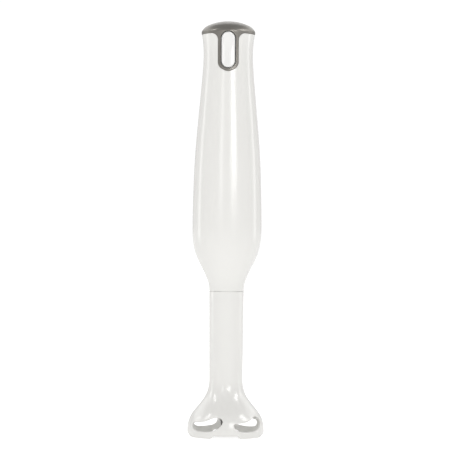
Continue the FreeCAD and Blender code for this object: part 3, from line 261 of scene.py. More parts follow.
# ------------------------------------------------------------------ mesh maker
class Shape:
    """Collects faces with exact normals, welds their corners and makes a mesh object."""

    def __init__(self):
        self.co, self.index, self.faces, self.normals = [], {}, [], []

    def vertex(self, p):
        key = (round(p[0] * 2000), round(p[1] * 2000), round(p[2] * 2000))
        if key not in self.index:
            self.index[key] = len(self.co)
            self.co.append((p[0] * MM, p[1] * MM, p[2] * MM))
        return self.index[key]

    def face(self, points, normals):
        ids, keep = [], []
        for i, p in enumerate(points):
            k = self.vertex(p)
            if k not in ids:
                ids.append(k)
                keep.append(i)
        if len(ids) < 3:
            return
        a, b, c = (np.array(points[keep[i]], float) for i in (0, 1, 2))
        normal = np.cross(b - a, c - a)
        if len(ids) == 4:
            normal = normal + np.cross(c - a, np.array(points[keep[3]], float) - a)
        picked = [normals[i] for i in keep]
        if normal @ np.sum(picked, axis=0) < 0:
            ids, picked = ids[::-1], picked[::-1]
        self.faces.append(ids)
        self.normals.append(picked)

    def strip(self, points_a, normals_a, points_b, normals_b):
        """Quads between two rows of points."""
        for i in range(len(points_a) - 1):
            self.face([points_a[i], points_a[i + 1], points_b[i + 1], points_b[i]],
                      [normals_a[i], normals_a[i + 1], normals_b[i + 1], normals_b[i]])

    def turn(self, profile, angles):
        """Revolves a run of corners, each (radius, height) or (radius, height, normal radius, normal height).
        A piece of the run whose two ends carry normals is shaded round, any other is shaded flat."""
        rows = []
        for a, b in zip(profile, profile[1:]):
            run = unit(np.array(b[:2]) - np.array(a[:2]))
            flat = (run[1], -run[0])
            na = a[2:4] if len(a) == 4 and len(b) == 4 else flat
            nb = b[2:4] if len(a) == 4 and len(b) == 4 else flat
            rows.append((a, na, b, nb))
        s, c = np.sin(angles), -np.cos(angles)
        for a, na, b, nb in rows:
            pa, pb = [np.stack([p[0] * s, p[0] * c, np.full_like(s, p[1])], 1) for p in (a, b)]
            ma, mb = [np.stack([n[0] * s, n[0] * c, np.full_like(s, n[1])], 1) for n in (na, nb)]
            self.strip(pa, ma, pb, mb)

    def cover(self, skin, loops, step, scale, side=1):
        """Fills the region inside the first loop and outside the others. Loops are (angle, height)."""
        flat = np.concatenate(loops) * (scale, 1)
        edges, start = [], 0
        for loop in loops:
            count = len(loop)
            edges += [(start + i, start + (i + 1) % count) for i in range(count)]
            start += count
        low, high = flat.min(0), flat.max(0)
        rows = np.arange(low[1] + step * 0.43, high[1], step * 0.87)
        grid = np.concatenate([np.stack([np.arange(low[0] + step * (0.25 + 0.5 * (i % 2)), high[0], step),
                                         np.full_like(np.arange(low[0] + step * (0.25 + 0.5 * (i % 2)),
                                                                high[0], step), z)], 1)
                               for i, z in enumerate(rows)])
        near = np.ones(len(grid), bool)
        for i in range(0, len(grid), 2000):
            gap = np.linalg.norm(grid[i:i + 2000, None] - flat[None], axis=2).min(1)
            near[i:i + 2000] = gap > 0.55 * step
        points = np.concatenate([flat, grid[near]])
        out = geometry.delaunay_2d_cdt([Vector(p) for p in points], edges, [], 1, 1e-6)
        source = [ids[0] if ids else None for ids in out[3]]
        uv = np.array([points[k] if k is not None else tuple(out[0][i]) for i, k in enumerate(source)])
        co, no = skin.at(uv[:, 0] / scale, uv[:, 1])
        triangles = np.array(out[2])
        middle = uv[triangles].mean(1)
        crossings = sum(crossed(middle, loop * (scale, 1)) for loop in loops)
        for tri in triangles[crossings % 2 == 1]:
            self.face(co[tri], no[tri] * side)

    def rim(self, outer, inner, edge, inset, inside, radius, closed=True, steps=4):
        """Rounded lip from the outer surface, then the wall down to the inner surface.
        edge, inset and inside are (angle, height) rows: the corner, the lip's start and the wall's foot."""
        if closed:
            edge, inset, inside = [np.concatenate([e, e[:1]]) for e in (edge, inset, inside)]
        sharp, _ = outer.at(edge[:, 0], edge[:, 1])
        start, up = outer.at(inset[:, 0], inset[:, 1])
        foot, _ = inner.at(inside[:, 0], inside[:, 1])
        away, down = start - sharp, unit(foot - sharp)
        ends = np.roll(sharp[:-1], 1, 0)[:1] if closed else sharp[:1]
        tails = sharp[1:2] if closed else sharp[-1:]
        along = np.concatenate([sharp[1:], tails]) - np.concatenate([ends, sharp[:-1]])
        out = unit(np.cross(along, down))
        out = out * np.sign((out * -away).sum(1, keepdims=True))
        rows = []
        for k in range(steps + 1):
            a = math.pi / 2 * k / steps
            rows.append((sharp + away * (1 - math.sin(a)) + down * radius * (1 - math.cos(a)),
                         unit(up * math.cos(a) + out * math.sin(a))))
        rows.append((foot, rows[-1][1]))
        for (pa, na), (pb, nb) in zip(rows, rows[1:]):
            self.strip(pa, na, pb, nb)

    def solid(self, points):
        """Convex closed block from its eight corners: four below, then four above."""
        low, high = points[:4], points[4:]
        middle = np.mean(points, axis=0)
        for quad in [low, high] + [[low[i], low[(i + 1) % 4], high[(i + 1) % 4], high[i]] for i in range(4)]:
            quad = [np.array(p, float) for p in quad]
            normal = unit(np.cross(quad[1] - quad[0], quad[2] - quad[0]))
            if normal @ (np.mean(quad, axis=0) - middle) < 0:
                normal = -normal
            self.face(quad, [normal] * 4)

    def piece(self, name, material, body, slot, *nodes):
        """The finished mesh as an object that rides on a body and stands for CAD nodes."""
        mesh = bpy.data.meshes.new(name)
        mesh.from_pydata(self.co, [], self.faces)
        mesh.validate()
        mesh.polygons.foreach_set("use_smooth", [True] * len(mesh.polygons))
        if len(mesh.polygons) == len(self.faces):
            mesh.normals_split_custom_set([tuple(unit(n)) for face in self.normals for n in face])
        else:
            print(f"{name}: {len(self.faces) - len(mesh.polygons)} faces dropped")
        obj = bpy.data.objects.new(name, mesh)
        bpy.context.scene.collection.objects.link(obj)
        mesh.materials.append(material)
        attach(obj, body)
        if nodes:
            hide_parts(*nodes)
        return obj


def circle_angles(count=256, start=-math.pi, end=math.pi):
    return np.linspace(start, end, count + 1)


# ------------------------------------------------------------------ materials
class Nodes:
    """A material's node tree with short calls for the nodes used here."""

    def __init__(self, name):
        self.material = bpy.data.materials.new(name)
        self.material.use_nodes = True
        self.tree = self.material.node_tree
        self.shader = self.tree.nodes["Principled BSDF"]

    def node(self, kind, **inputs):
        made = self.tree.nodes.new(kind)
        for key, value in inputs.items():
            if key in made.bl_rna.properties:
                setattr(made, key, value)
            else:
                made.inputs[key.replace("_", " ")].default_value = value
        return made

    def link(self, a, b):
        self.tree.links.new(a, b)

    def position(self, stretch=(1, 1, 1)):
        coords = self.node("ShaderNodeTexCoord")
        mapping = self.node("ShaderNodeMapping")
        mapping.inputs["Scale"].default_value = stretch
        self.link(coords.outputs["Object"], mapping.inputs["Vector"])
        return mapping.outputs["Vector"]

    def noise(self, scale, stretch=(1, 1, 1), detail=3.0, rough=0.5):
        made = self.node("ShaderNodeTexNoise", Scale=scale, Detail=detail, Roughness=rough)
        self.link(self.position(stretch), made.inputs["Vector"])
        return made.outputs["Fac"]

    def gloss(self, value, low, high):
        """Roughness in a range, from a noise value that is mostly between 0.3 and 0.7."""
        made = self.node("ShaderNodeMapRange")
        made.inputs["From Min"].default_value = 0.3
        made.inputs["From Max"].default_value = 0.7
        made.inputs["To Min"].default_value = low
        made.inputs["To Max"].default_value = high
        self.link(value, made.inputs["Value"])
        self.link(made.outputs["Result"], self.shader.inputs["Roughness"])

    def tint(self, value, a, b):
        """Base colour between two tones."""
        made = self.node("ShaderNodeMix", data_type="RGBA")
        made.inputs[6].default_value = (*a, 1)
        made.inputs[7].default_value = (*b, 1)
        self.link(value, made.inputs["Factor"])
        self.link(made.outputs[2], self.shader.inputs["Base Color"])

    def bump(self, value, strength, distance):
        made = self.node("ShaderNodeBump", Strength=strength, Distance=distance)
        self.link(value, made.inputs["Height"])
        self.link(made.outputs["Normal"], self.shader.inputs["Normal"])

    def set(self, **values):
        for key, value in values.items():
            self.shader.inputs[key.replace("_", " ")].default_value = value
        return self


def shade(colour, factor):
    """A colour made darker or lighter."""
    return tuple(min(1.0, c * factor) for c in colour)


def plastic(name, colour, rough=0.3, grain=1.0, grain_size=900, mottle=0.02, metallic=0.0):
    """Moulded plastic: faint mottling, uneven gloss and a fine grain; metallic where it is painted."""
    m = Nodes(name)
    cloud = m.noise(35, detail=4)
    m.tint(cloud, shade(colour, 1 - mottle), shade(colour, 1 + mottle))
    m.gloss(m.noise(120, detail=5), rough * 0.88, rough * 1.14)
    m.bump(m.noise(grain_size, detail=2), 0.12 * grain, 0.00012)
    return m.set(Specular_IOR_Level=0.5, Metallic=metallic).material


def metal(name, colour, rough=0.28, stretch=(1, 1, 0.04), lines=900, depth=0.1):
    """Metal with fine tool lines along one direction and slight tarnish."""
    m = Nodes(name)
    line = m.noise(lines, stretch, detail=2)
    m.tint(m.noise(60, detail=4), shade(colour, 0.93), shade(colour, 1.06))
    m.gloss(line, rough * 0.75, rough * 1.3)
    m.bump(line, depth, 0.00006)
    return m.set(Metallic=1.0).material


def rubber(name, colour):
    """Matt rubber with a dusty bloom and fine pores."""
    m = Nodes(name)
    m.tint(m.noise(50, detail=5), shade(colour, 0.85), shade(colour, 1.35))
    m.gloss(m.noise(300, detail=4), 0.62, 0.85)
    m.bump(m.noise(1400, detail=2), 0.2, 0.0001)
    return m.set(Specular_IOR_Level=0.3).material


def wound(name, colour, turns=2600):
    """Enamelled copper wire laid side by side."""
    m = Nodes(name)
    wave = m.node("ShaderNodeTexWave", Scale=turns / 6.28, Distortion=1.2, Detail=2.0)
    wave.bands_direction = "Z"
    m.link(m.position(), wave.inputs["Vector"])
    m.tint(wave.outputs["Fac"], shade(colour, 0.45), shade(colour, 1.15))
    m.gloss(m.noise(200), 0.22, 0.38)
    m.bump(wave.outputs["Fac"], 0.5, 0.0002)
    return m.set(Metallic=0.85, Coat_Weight=0.4).material


def stacked(name, colour, sheets=2000):
    """Edges of pressed sheet steel, one above the other."""
    m = Nodes(name)
    wave = m.node("ShaderNodeTexWave", Scale=sheets / 6.28, Distortion=0.0)
    wave.bands_direction = "Z"
    m.link(m.position(), wave.inputs["Vector"])
    m.tint(wave.outputs["Fac"], shade(colour, 0.6), shade(colour, 1.15))
    m.gloss(m.noise(150), 0.3, 0.5)
    m.bump(wave.outputs["Fac"], 0.4, 0.0001)
    return m.set(Metallic=0.9).material


def grains(name, colour, size=1500, rough=0.8, metallic=0.0):
    """Pressed or sintered grain: felt, ferrite, carbon and bronze."""
    m = Nodes(name)
    speck = m.noise(size, detail=6, rough=0.7)
    m.tint(speck, shade(colour, 0.6), shade(colour, 1.4))
    m.gloss(speck, rough * 0.9, min(1.0, rough * 1.1))
    m.bump(speck, 0.35, 0.00015)
    return m.set(Metallic=metallic, Specular_IOR_Level=0.3).material


def board(name, colour):
    """Solder-masked board with faint copper tracks under the lacquer."""
    m = Nodes(name)
    cells = m.node("ShaderNodeTexVoronoi", Scale=260.0)
    cells.distance = "CHEBYCHEV"
    m.link(m.position(), cells.inputs["Vector"])
    m.tint(cells.outputs["Distance"], shade(colour, 1.7), shade(colour, 0.8))
    m.gloss(m.noise(180), 0.25, 0.4)
    m.bump(cells.outputs["Distance"], 0.2, 0.0001)
    return m.set(Coat_Weight=0.5).material


WHITE = (0.800, 0.792, 0.765)
GREY = (0.205, 0.195, 0.178)
looks = {
    "body_white": plastic("body_white", WHITE, 0.17, 0.35, 700, 0.008),
    "cap_grey": plastic("cap_grey", GREY, 0.40, 0.6, 900, 0.03, 0.9),
    "button_white": plastic("button_white", (0.83, 0.825, 0.81), 0.12, 0.3, 800, 0.008),
    "gland_rubber": rubber("gland_rubber", (0.035, 0.035, 0.035)),
    "black_rubber": rubber("black_rubber", (0.02, 0.02, 0.02)),
    "red_rubber": rubber("red_rubber", (0.42, 0.05, 0.03)),
    "screw_steel": metal("screw_steel", (0.52, 0.52, 0.52), 0.3, (1, 1, 1)),
    "dark_screw_steel": metal("dark_screw_steel", (0.16, 0.16, 0.17), 0.38, (1, 1, 1)),
    "clamp_plastic": plastic("clamp_plastic", (0.60, 0.60, 0.57), 0.5),
    "spring_steel": metal("spring_steel", (0.56, 0.56, 0.57), 0.25, (1, 1, 1)),
    "switch_black": plastic("switch_black", (0.03, 0.03, 0.035), 0.45, 1.5, 1100, 0.15),
    "switch_red": plastic("switch_red", (0.55, 0.05, 0.04), 0.35),
    "tinned_brass": metal("tinned_brass", (0.70, 0.68, 0.62), 0.3, (1, 1, 1)),
    "bracket_nylon": plastic("bracket_nylon", (0.70, 0.69, 0.64), 0.5),
    "can_zinc": metal("can_zinc", (0.55, 0.57, 0.59), 0.33, (1, 1, 0.05)),
    "bush_bronze": grains("bush_bronze", (0.50, 0.33, 0.14), 1800, 0.45, 0.9),
    "magnet_ferrite": grains("magnet_ferrite", (0.07, 0.07, 0.075), 1200, 0.7),
    "end_cap_black": plastic("end_cap_black", (0.05, 0.05, 0.055), 0.5, 1.2),
    "holder_brass": metal("holder_brass", (0.72, 0.52, 0.18), 0.28, (0.05, 1, 1)),
    "brush_carbon": grains("brush_carbon", (0.03, 0.03, 0.03), 1600, 0.6),
    "sleeve_nylon": plastic("sleeve_nylon", (0.75, 0.74, 0.70), 0.4),
    "board_green": board("board_green", (0.03, 0.19, 0.07)),
    "rectifier_black": plastic("rectifier_black", (0.035, 0.035, 0.035), 0.55, 1.5),
    "capacitor_yellow": plastic("capacitor_yellow", (0.75, 0.50, 0.06), 0.3),
    "copper": wound("copper", (0.62, 0.23, 0.09)),
    "lead_brown": plastic("lead_brown", (0.16, 0.06, 0.03), 0.4),
    "lead_blue": plastic("lead_blue", (0.03, 0.10, 0.45), 0.4),
    "lead_red": plastic("lead_red", (0.50, 0.03, 0.03), 0.4),
    "carrier_grey": plastic("carrier_grey", (0.40, 0.40, 0.39), 0.45),
    "felt_grey": grains("felt_grey", (0.42, 0.41, 0.38), 2200, 0.95),
    "shaft_steel": metal("shaft_steel", (0.62, 0.62, 0.61), 0.16, (1, 1, 40)),
    "core_steel": stacked("core_steel", (0.28, 0.29, 0.31)),
    "fan_grey": plastic("fan_grey", (0.30, 0.31, 0.32), 0.45),
    "coupling_nylon": plastic("coupling_nylon", (0.72, 0.70, 0.62), 0.42),
    "blade_steel": metal("blade_steel", (0.64, 0.64, 0.63), 0.2, (1, 0.03, 1), 1400, 0.15),
    "hub_white": plastic("hub_white", (0.76, 0.75, 0.72), 0.3),
}
for row in frame["record"]["subparts"]:
    node = frame["nodes"][row["node"]]
    node.data.materials.clear()
    node.data.materials.append(looks[row["material_slot"]])


# ------------------------------------------------------------------ bell and stem
def rim_height(angle):
    """Height of the bell's lower edge: four feet with shallow arches between them."""
    x, y = np.abs(FOOT_RING_R * np.sin(angle)), np.abs(FOOT_RING_R * np.cos(angle))
    front = np.clip((14.4 - x) / 3.9, 0, 1)
    side = np.clip((16.5 - y) / 11.0, 0, 1)
    ease = lambda t: 0.4 * t + 0.6 * t * t * (3 - 2 * t)
    return np.where(y > x, FRONT_ARCH_H * ease(front), SIDE_ARCH_H * ease(side))


def make_bell():
    """Bell with its windows and feet, the stem tube and the spigot held by the body shells."""
    shape, outer, inner = Shape(), bell_skin(), bell_skin(-BELL_WALL)
    scale, lip, rim_lip = 33.0, 1.55, 0.6
    angles = circle_angles(256, math.pi / 2, math.pi * 5 / 2)
    edge = np.stack([angles, rim_height(angles)], 1)
    inset, inside = edge + (0, rim_lip), edge
    shape.rim(outer, inner, edge, inset, inside, rim_lip, closed=False)

    windows_outer, windows_inner = [], []
    outline, _ = spline(WINDOW_OUTLINE, closed=True, per_span=11)
    for degrees in WINDOW_ANGLES:
        turn = math.radians(degrees + (360 if degrees < 90 else 0))
        loop, foot = [on_front(skin, outline) + (turn, 0) for skin in (outer, inner)]
        start = offset_loop(loop * (scale, 1), -lip) / (scale, 1)
        shape.rim(outer, inner, loop, start, foot, lip, steps=6)
        windows_outer.append(start)
        windows_inner.append(foot)

    for skin, low, high, holes, side in ((outer, inset, NECK_Z, windows_outer, 1),
                                         (inner, inside, BELL_CEILING_Z, windows_inner, -1)):
        shape.cover(skin, [full_band(low, angles, high, 30)] + holes, 1.35, scale, side)

    ceiling_r = float(inner.radius(BELL_CEILING_Z))
    ledge_z, edge_z, edge_r = SHOULDER_Z - 0.05, SHOULDER_Z - 0.25, 15.4
    shape.turn([(ceiling_r, BELL_CEILING_Z), (BELL_BOSS_R, BELL_CEILING_Z), (BELL_BOSS_R, BELL_BOSS_Z + 0.4),
                (BELL_BOSS_R - 0.4, BELL_BOSS_Z), (SEAL_BORE_R, BELL_BOSS_Z), (SEAL_BORE_R, SEAL_BORE_Z),
                (STEM_BORE_R, SEAL_BORE_Z), (STEM_BORE_R, 127.0), (PLUG_BORE_R, 127.0),
                (PLUG_BORE_R, PLUG_TOP_Z), (STEM_PLUG_R, PLUG_TOP_Z), (STEM_PLUG_R, 145.5),
                (PLUG_FLANGE_R, 145.5), (PLUG_FLANGE_R, 143.0), (STEM_PLUG_R, 143.0), (STEM_PLUG_R, ledge_z),
                (15.1, ledge_z), (edge_r, edge_z)][::-1], angles)
    neck_r, slope = float(outer.radius(NECK_Z)), (SHOULDER_R - NECK_R) / (SHOULDER_Z - NECK_Z)
    stem_r, stem_h = 15.48, 75.4
    stem = [(neck_r + (stem_r - neck_r) * k / 12, NECK_Z + stem_h * k / 12, 1.0, -slope) for k in range(13)]
    shape.turn(stem[::-1], angles)
    shape.turn([(edge_r, edge_z, 0.7, 0.7), (stem_r, NECK_Z + stem_h, 1.0, -slope)], angles)
    rib_root, rib_half = 10.5, 0.8
    for k in range(4):
        a = math.radians(4 + 90 * k)
        along, across = np.array([math.cos(a), math.sin(a)]), np.array([-math.sin(a), math.cos(a)])
        corners = []
        for z, reach in ((25.0, 24.4), (34.6, 17.6)):
            corners += [[*(along * r + across * w), z] for r, w in
                        ((rib_root, -rib_half), (reach, -rib_half), (reach, rib_half), (rib_root, rib_half))]
        shape.solid(corners)
    return shape.piece("stem_bell", looks["body_white"], "housing", "body_white", "stem_and_bell")


# ------------------------------------------------------------------ body shells
def shell_edges(first, last, low, high, step):
    """Bottom, right and left sides of a half shell as (angle, height)."""
    across = np.linspace(first, last, 65)
    up = np.linspace(low, high, round((high - low) / step))
    bottom = np.stack([across, np.full_like(across, low)], 1)
    right = np.stack([np.full_like(up, last), up], 1)
    top = np.stack([across[::-1], np.full_like(across, high)], 1)
    left = np.stack([np.full_like(up, first), up[::-1]], 1)
    return bottom, right[1:], top[1:], left[1:-1]


def half_shell(name, node, first, last, notch, holes, extras):
    """One body shell: skins, rounded edges, inner rings and what the caller adds."""
    shape, outer, inner = Shape(), body_skin(), body_skin(-WALL)
    scale, lip, low, high = 28.0, 0.22, SHOULDER_Z + 0.05, CAP_Z - 0.1
    bottom, right, top, left = shell_edges(first, last, low, high, 2.2)
    if notch is not None:
        opening = on_front(outer, notch)[::-1]
        before = top[top[:, 0] > opening[0, 0] + 0.02]
        after = top[top[:, 0] < opening[-1, 0] - 0.02]
        top = np.concatenate([before, opening, after])
    edge = np.concatenate([bottom, right, top, left])
    start = offset_loop(edge * (scale, 1), lip) / (scale, 1)
    across = edge[:, 0]
    if notch is not None:
        on_notch = (edge[:, 0] > opening[-1, 0] - 1e-6) & (edge[:, 0] < opening[0, 0] + 1e-6)
        on_notch &= edge[:, 1] > notch[:, 1].min() - 1
        x = outer.radius(edge[:, 1]) * np.sin(edge[:, 0])
        across = np.where(on_notch, front_angle(inner, x, edge[:, 1]), edge[:, 0])
    foot = np.stack([across, edge[:, 1]], 1)
    shape.rim(outer, inner, edge, start, foot, lip, steps=3)
    outer_loops, inner_loops = [start], [foot]
    for outline in holes:
        loop, sunk = [on_front(skin, outline) * (-1, 1) + (math.pi, 0) for skin in (outer, inner)]
        ring = offset_loop(loop * (scale, 1), lip) / (scale, 1)
        shape.rim(outer, inner, loop, ring, sunk, lip, steps=3)
        outer_loops.append(ring)
        inner_loops.append(sunk)
    shape.cover(outer, outer_loops, 2.0, scale)
    shape.cover(inner, inner_loops, 2.6, scale, -1)
    web_angles = np.linspace(first, last, 49)
    for web_low, web_high, radius in SHELL_WEBS:
        reach = float(inner.radius((web_low + web_high) / 2)) + 0.9
        square = [(radius, web_low), (radius, web_high), (reach, web_high), (reach, web_low)]
        shape.turn((square + square[:1])[::-1], web_angles)
        for angle, way in ((first, -1), (last, 1)):
            s, c = math.sin(angle), -math.cos(angle)
            normal = np.array([-c, s, 0]) * way
            shape.face([(r * s, r * c, z) for r, z in square], [normal] * 4)
    extras(shape, inner)
    return shape.piece(name, looks["body_white"], "housing", "body_white", node)


def pillar(shape, skin, x, z, bore, outer_r, seat_r, y0, seat_y, side):
    """Screw pillar along Y that stands on a shell's wall, with a bore and a wider seat."""
    around = np.linspace(0, 2 * math.pi, 33)
    c, s = np.cos(around), np.sin(around)

    def ring(radius, y):
        px, pz = x + radius * c, z + radius * s
        if y is None:
            y = side * np.sqrt((skin.radius(pz) + 1.0) ** 2 - px**2)
        return np.stack([px, np.broadcast_to(y, px.shape), pz], 1)

    radial = np.stack([c, 0 * c, s], 1)
    along = np.tile([0.0, side, 0.0], (len(c), 1))
    shape.strip(ring(bore, y0), -radial, ring(bore, seat_y), -radial)
    shape.strip(ring(bore, seat_y), along, ring(seat_r, seat_y), along)
    shape.strip(ring(seat_r, seat_y), -radial, ring(seat_r, None), -radial)
    shape.strip(ring(seat_r, None), along, ring(outer_r, None), along)
    shape.strip(ring(outer_r, None), radial, ring(outer_r, y0), radial)
    shape.strip(ring(outer_r, y0), -along, ring(bore, y0), -along)


def screw_places():
    return [(side * x, z) for x, z in SCREW_SPOTS for side in (-1, 1)]


def stadium(half_width, low, high):
    """Closed slot outline with round ends, anticlockwise, as (x, z)."""
    radius, middle = (high - low) / 2, (high + low) / 2
    arc = np.linspace(-math.pi / 2, math.pi / 2, 9)
    right = np.stack([half_width + radius * np.cos(arc), middle + radius * np.sin(arc)], 1)
    left = np.stack([-half_width - radius * np.cos(arc), middle - radius * np.sin(arc)], 1)
    return resampled(np.concatenate([right, left, right[:1]]), 1.6)[:-1]


def make_shells():
    """Front shell with the opening for the trim, and rear shell with air slots and screw holes."""
    gap = math.radians(0.05)

    def front_extras(shape, inner):
        for x, z in screw_places():
            pillar(shape, inner, x, z, bore=1.52, outer_r=3.4, seat_r=1.6, y0=-0.05, seat_y=-8.2, side=-1)

    def rear_extras(shape, inner):
        for x, z in screw_places():
            pillar(shape, inner, x, z, bore=1.7, outer_r=4.2, seat_r=3.22, y0=0.05, seat_y=4.5, side=1)

    half_shell("shell_front", "front_shell", -math.pi / 2 + gap, math.pi / 2 - gap,
               trim_outline(0.1), [], front_extras)
    holes = []
    for first, rows, half_width in VENT_SPOTS:
        for low in first + VENT_PITCH * np.arange(rows):
            holes.append(stadium(half_width, low, low + VENT_H))
    around, hole_r = np.linspace(0, 2 * math.pi, 41)[:-1], 3.27
    for x, z in screw_places():
        holes.append(np.stack([x + hole_r * np.cos(around), z + hole_r * np.sin(around)], 1))
    half_shell("shell_rear", "rear_shell", math.pi / 2 + gap, math.pi * 3 / 2 - gap, None, holes, rear_extras)


# ------------------------------------------------------------------ cap, trim and gland
def cap_profile():
    """(height, radius) samples and directions of the domed cap, from its lower edge to the crown."""
    reach, drop = CAP_R - RIM_R, CAP_WIDE_Z - (HEIGHT - CROWN_R)
    long_arm, short_arm = CROWN_R - HAUNCH_R, HAUNCH_R - RIM_R
    span = math.hypot(reach, drop)
    spread = math.acos((span**2 - long_arm**2 - short_arm**2) / (2 * long_arm * short_arm))
    first = math.atan2(reach, drop) - math.asin(short_arm * math.sin(spread) / span)
    second = first + spread
    lean = lambda a: np.stack([np.cos(a), np.sin(a)], -1)
    crown_c = np.array([HEIGHT - CROWN_R, 0.0])
    haunch_c = crown_c + lean(first) * long_arm
    rim_c = haunch_c + lean(second) * short_arm
    samples, directions = [], []
    for t in np.linspace(0, 1, 9)[:-1]:
        samples.append((CAP_Z + (CAP_WIDE_Z - CAP_Z) * t,
                        CAP_FOOT_R + (CAP_R - CAP_FOOT_R) * math.sin(t * math.pi / 2)))
        directions.append(unit((CAP_WIDE_Z - CAP_Z,
                                (CAP_R - CAP_FOOT_R) * math.pi / 2 * math.cos(t * math.pi / 2))))
    for centre, radius, a0, a1, count in ((rim_c, RIM_R, math.pi / 2, second, 14),
                                          (haunch_c, HAUNCH_R, second, first, 14),
                                          (crown_c, CROWN_R, first, 0, 30)):
        for a in np.linspace(a0, a1, count):
            samples.append(centre + lean(a) * radius)
            directions.append((math.sin(a), -math.cos(a)))
    return np.array(samples), np.array(directions)


class CapSkin(Skin):
    """Trim surface below the seam and dome above it, joined smoothly."""

    def __init__(self):
        samples, directions = cap_profile()
        super().__init__(samples, directions)
        trim = body_skin(TRIM_PROUD)
        z = np.linspace(318, CAP_Z - 0.6, 90)
        point, normal = trim.at(np.zeros_like(z), z)
        self.z, self.r = np.concatenate([z, self.z]), np.concatenate([-point[:, 1], self.r])
        self.nr, self.nz = np.concatenate([-normal[:, 1], self.nr]), np.concatenate([normal[:, 2], self.nz])


class CapLining(Skin):
    """Back of the trim below the seam and the spigot's bore above it."""

    def __init__(self):
        z = np.linspace(318, CAP_Z - 0.8, 60)
        point, _ = body_skin(-TRIM_BACK).at(np.zeros_like(z), z)
        self.z, self.r = np.append(z, [CAP_Z + 0.6, TOP_Z]), np.append(-point[:, 1], [SPIGOT_BORE] * 2)
        self.nr, self.nz = np.ones_like(self.z), np.zeros_like(self.z)


def make_cap():
    """Domed cap and button trim as one moulding, with the snap-in spigot."""
    shape, outer, inner = Shape(), CapSkin(), CapLining()
    scale, lip, band_z = 24.0, 0.3, 361.4
    angles = circle_angles()
    trim = trim_outline(0.0, 0.45)
    opening = on_front(outer, trim)
    lower = np.stack([angles, np.full_like(angles, CAP_Z)], 1)
    edge = np.concatenate([lower[lower[:, 0] < opening[0, 0] - 0.02], opening,
                           lower[lower[:, 0] > opening[-1, 0] + 0.02]])
    start = offset_loop(edge * (scale, 1), lip, closed=False) / (scale, 1)
    start[[0, -1], 0] = edge[[0, -1], 0]
    x = outer.radius(edge[:, 1]) * np.sin(edge[:, 0])
    on_trim = (edge[:, 0] >= opening[0, 0]) & (edge[:, 0] <= opening[-1, 0])
    foot = np.stack([np.where(on_trim, front_angle(inner, x, edge[:, 1]), edge[:, 0]), edge[:, 1]], 1)
    shape.rim(outer, inner, edge, start, foot, lip, closed=False, steps=4)

    hole = capsule(BUTTON_GAP, 0.45)
    loop, sunk = on_front(outer, hole), on_front(inner, hole)
    ring = offset_loop(loop * (scale, 1), -0.4) / (scale, 1)
    shape.rim(outer, inner, loop, ring, sunk, 0.4, steps=4)
    for skin, low, window, side in ((outer, start, ring, 1), (inner, foot, sunk, -1)):
        shape.cover(skin, [full_band(low, angles, band_z, 7), window], 0.8, scale, side)

    samples, directions = cap_profile()
    dome = [(r, z, n[0], -n[1]) for (z, r), n in zip(samples, directions) if z > band_z and r > CAP_HOLE_R]
    point, normal = outer.at(np.zeros(1), np.array([band_z]))
    first = (float(-point[0, 1]), band_z, float(-normal[0, 1]), float(normal[0, 2]))
    centre_z = HEIGHT - CROWN_R
    lean = math.asin(CAP_HOLE_R / CROWN_R)
    hole_z = centre_z + CROWN_R * math.cos(lean)
    last = (CAP_HOLE_R, hole_z, math.sin(lean), math.cos(lean))
    shape.turn([first] + dome + [last], angles)
    bore_r, vault_r, vault = 5.42, 41.8, []
    for a in np.linspace(math.asin(bore_r / vault_r), math.asin(SPIGOT_BORE / vault_r), 12):
        vault.append((vault_r * math.sin(a), centre_z + vault_r * math.cos(a), -math.sin(a), -math.cos(a)))
    shape.turn([(CAP_HOLE_R, hole_z), (bore_r, hole_z - 0.2), vault[0][:2]][::-1], angles)
    shape.turn(vault, angles)
    shape.turn([vault[-1][:2], (SPIGOT_BORE, band_z)], angles)
    bead_r = SPIGOT_R + 0.6
    shape.turn([(SPIGOT_BORE, 349.5), (SPIGOT_R, 349.5), (SPIGOT_R, 351.6), (bead_r, 351.8), (bead_r, 352.4),
                (SPIGOT_R, 352.6), (SPIGOT_R, CAP_Z + 0.3), (SPIGOT_BORE, CAP_Z + 0.3), (SPIGOT_BORE, 349.5)],
               cap_spigot_angles())
    return shape.piece("cap", looks["cap_grey"], "housing", "cap_grey", "top_cap")


def cap_spigot_angles():
    """The spigot runs behind the shells' rims and stops at the trim."""
    return np.linspace(math.radians(34), math.radians(326), 160)


def make_grommet():
    """Gland in the crown, with soft edges round the cord's bore."""
    shape, angles = Shape(), circle_angles(96)
    top = lambda r: HEIGHT - CROWN_R + math.sqrt(CROWN_R**2 - r * r)
    foot_z, flange_low, flange_high, soft = 358.0, 364.4, 366.4, 0.4
    bevel_r = GLAND_FLANGE_R - soft
    outside = [(CORD_R, foot_z), (GLAND_R, foot_z), (GLAND_R, flange_low), (bevel_r, flange_low),
               (GLAND_FLANGE_R, flange_low + soft), (GLAND_FLANGE_R, flange_high - soft),
               (bevel_r, flange_high), (GLAND_R, flange_high)]
    outside += [(r, top(r) - drop) for r, drop in
                ((GLAND_R, 0.35), (5.1, 0.1), (4.7, 0.02), (3.9, 0.02), (3.5, 0.12), (CORD_R, soft))]
    shape.turn(outside + outside[:1], angles)
    return shape.piece("gland", looks["gland_rubber"], "housing", "gland_rubber", "cord_grommet")


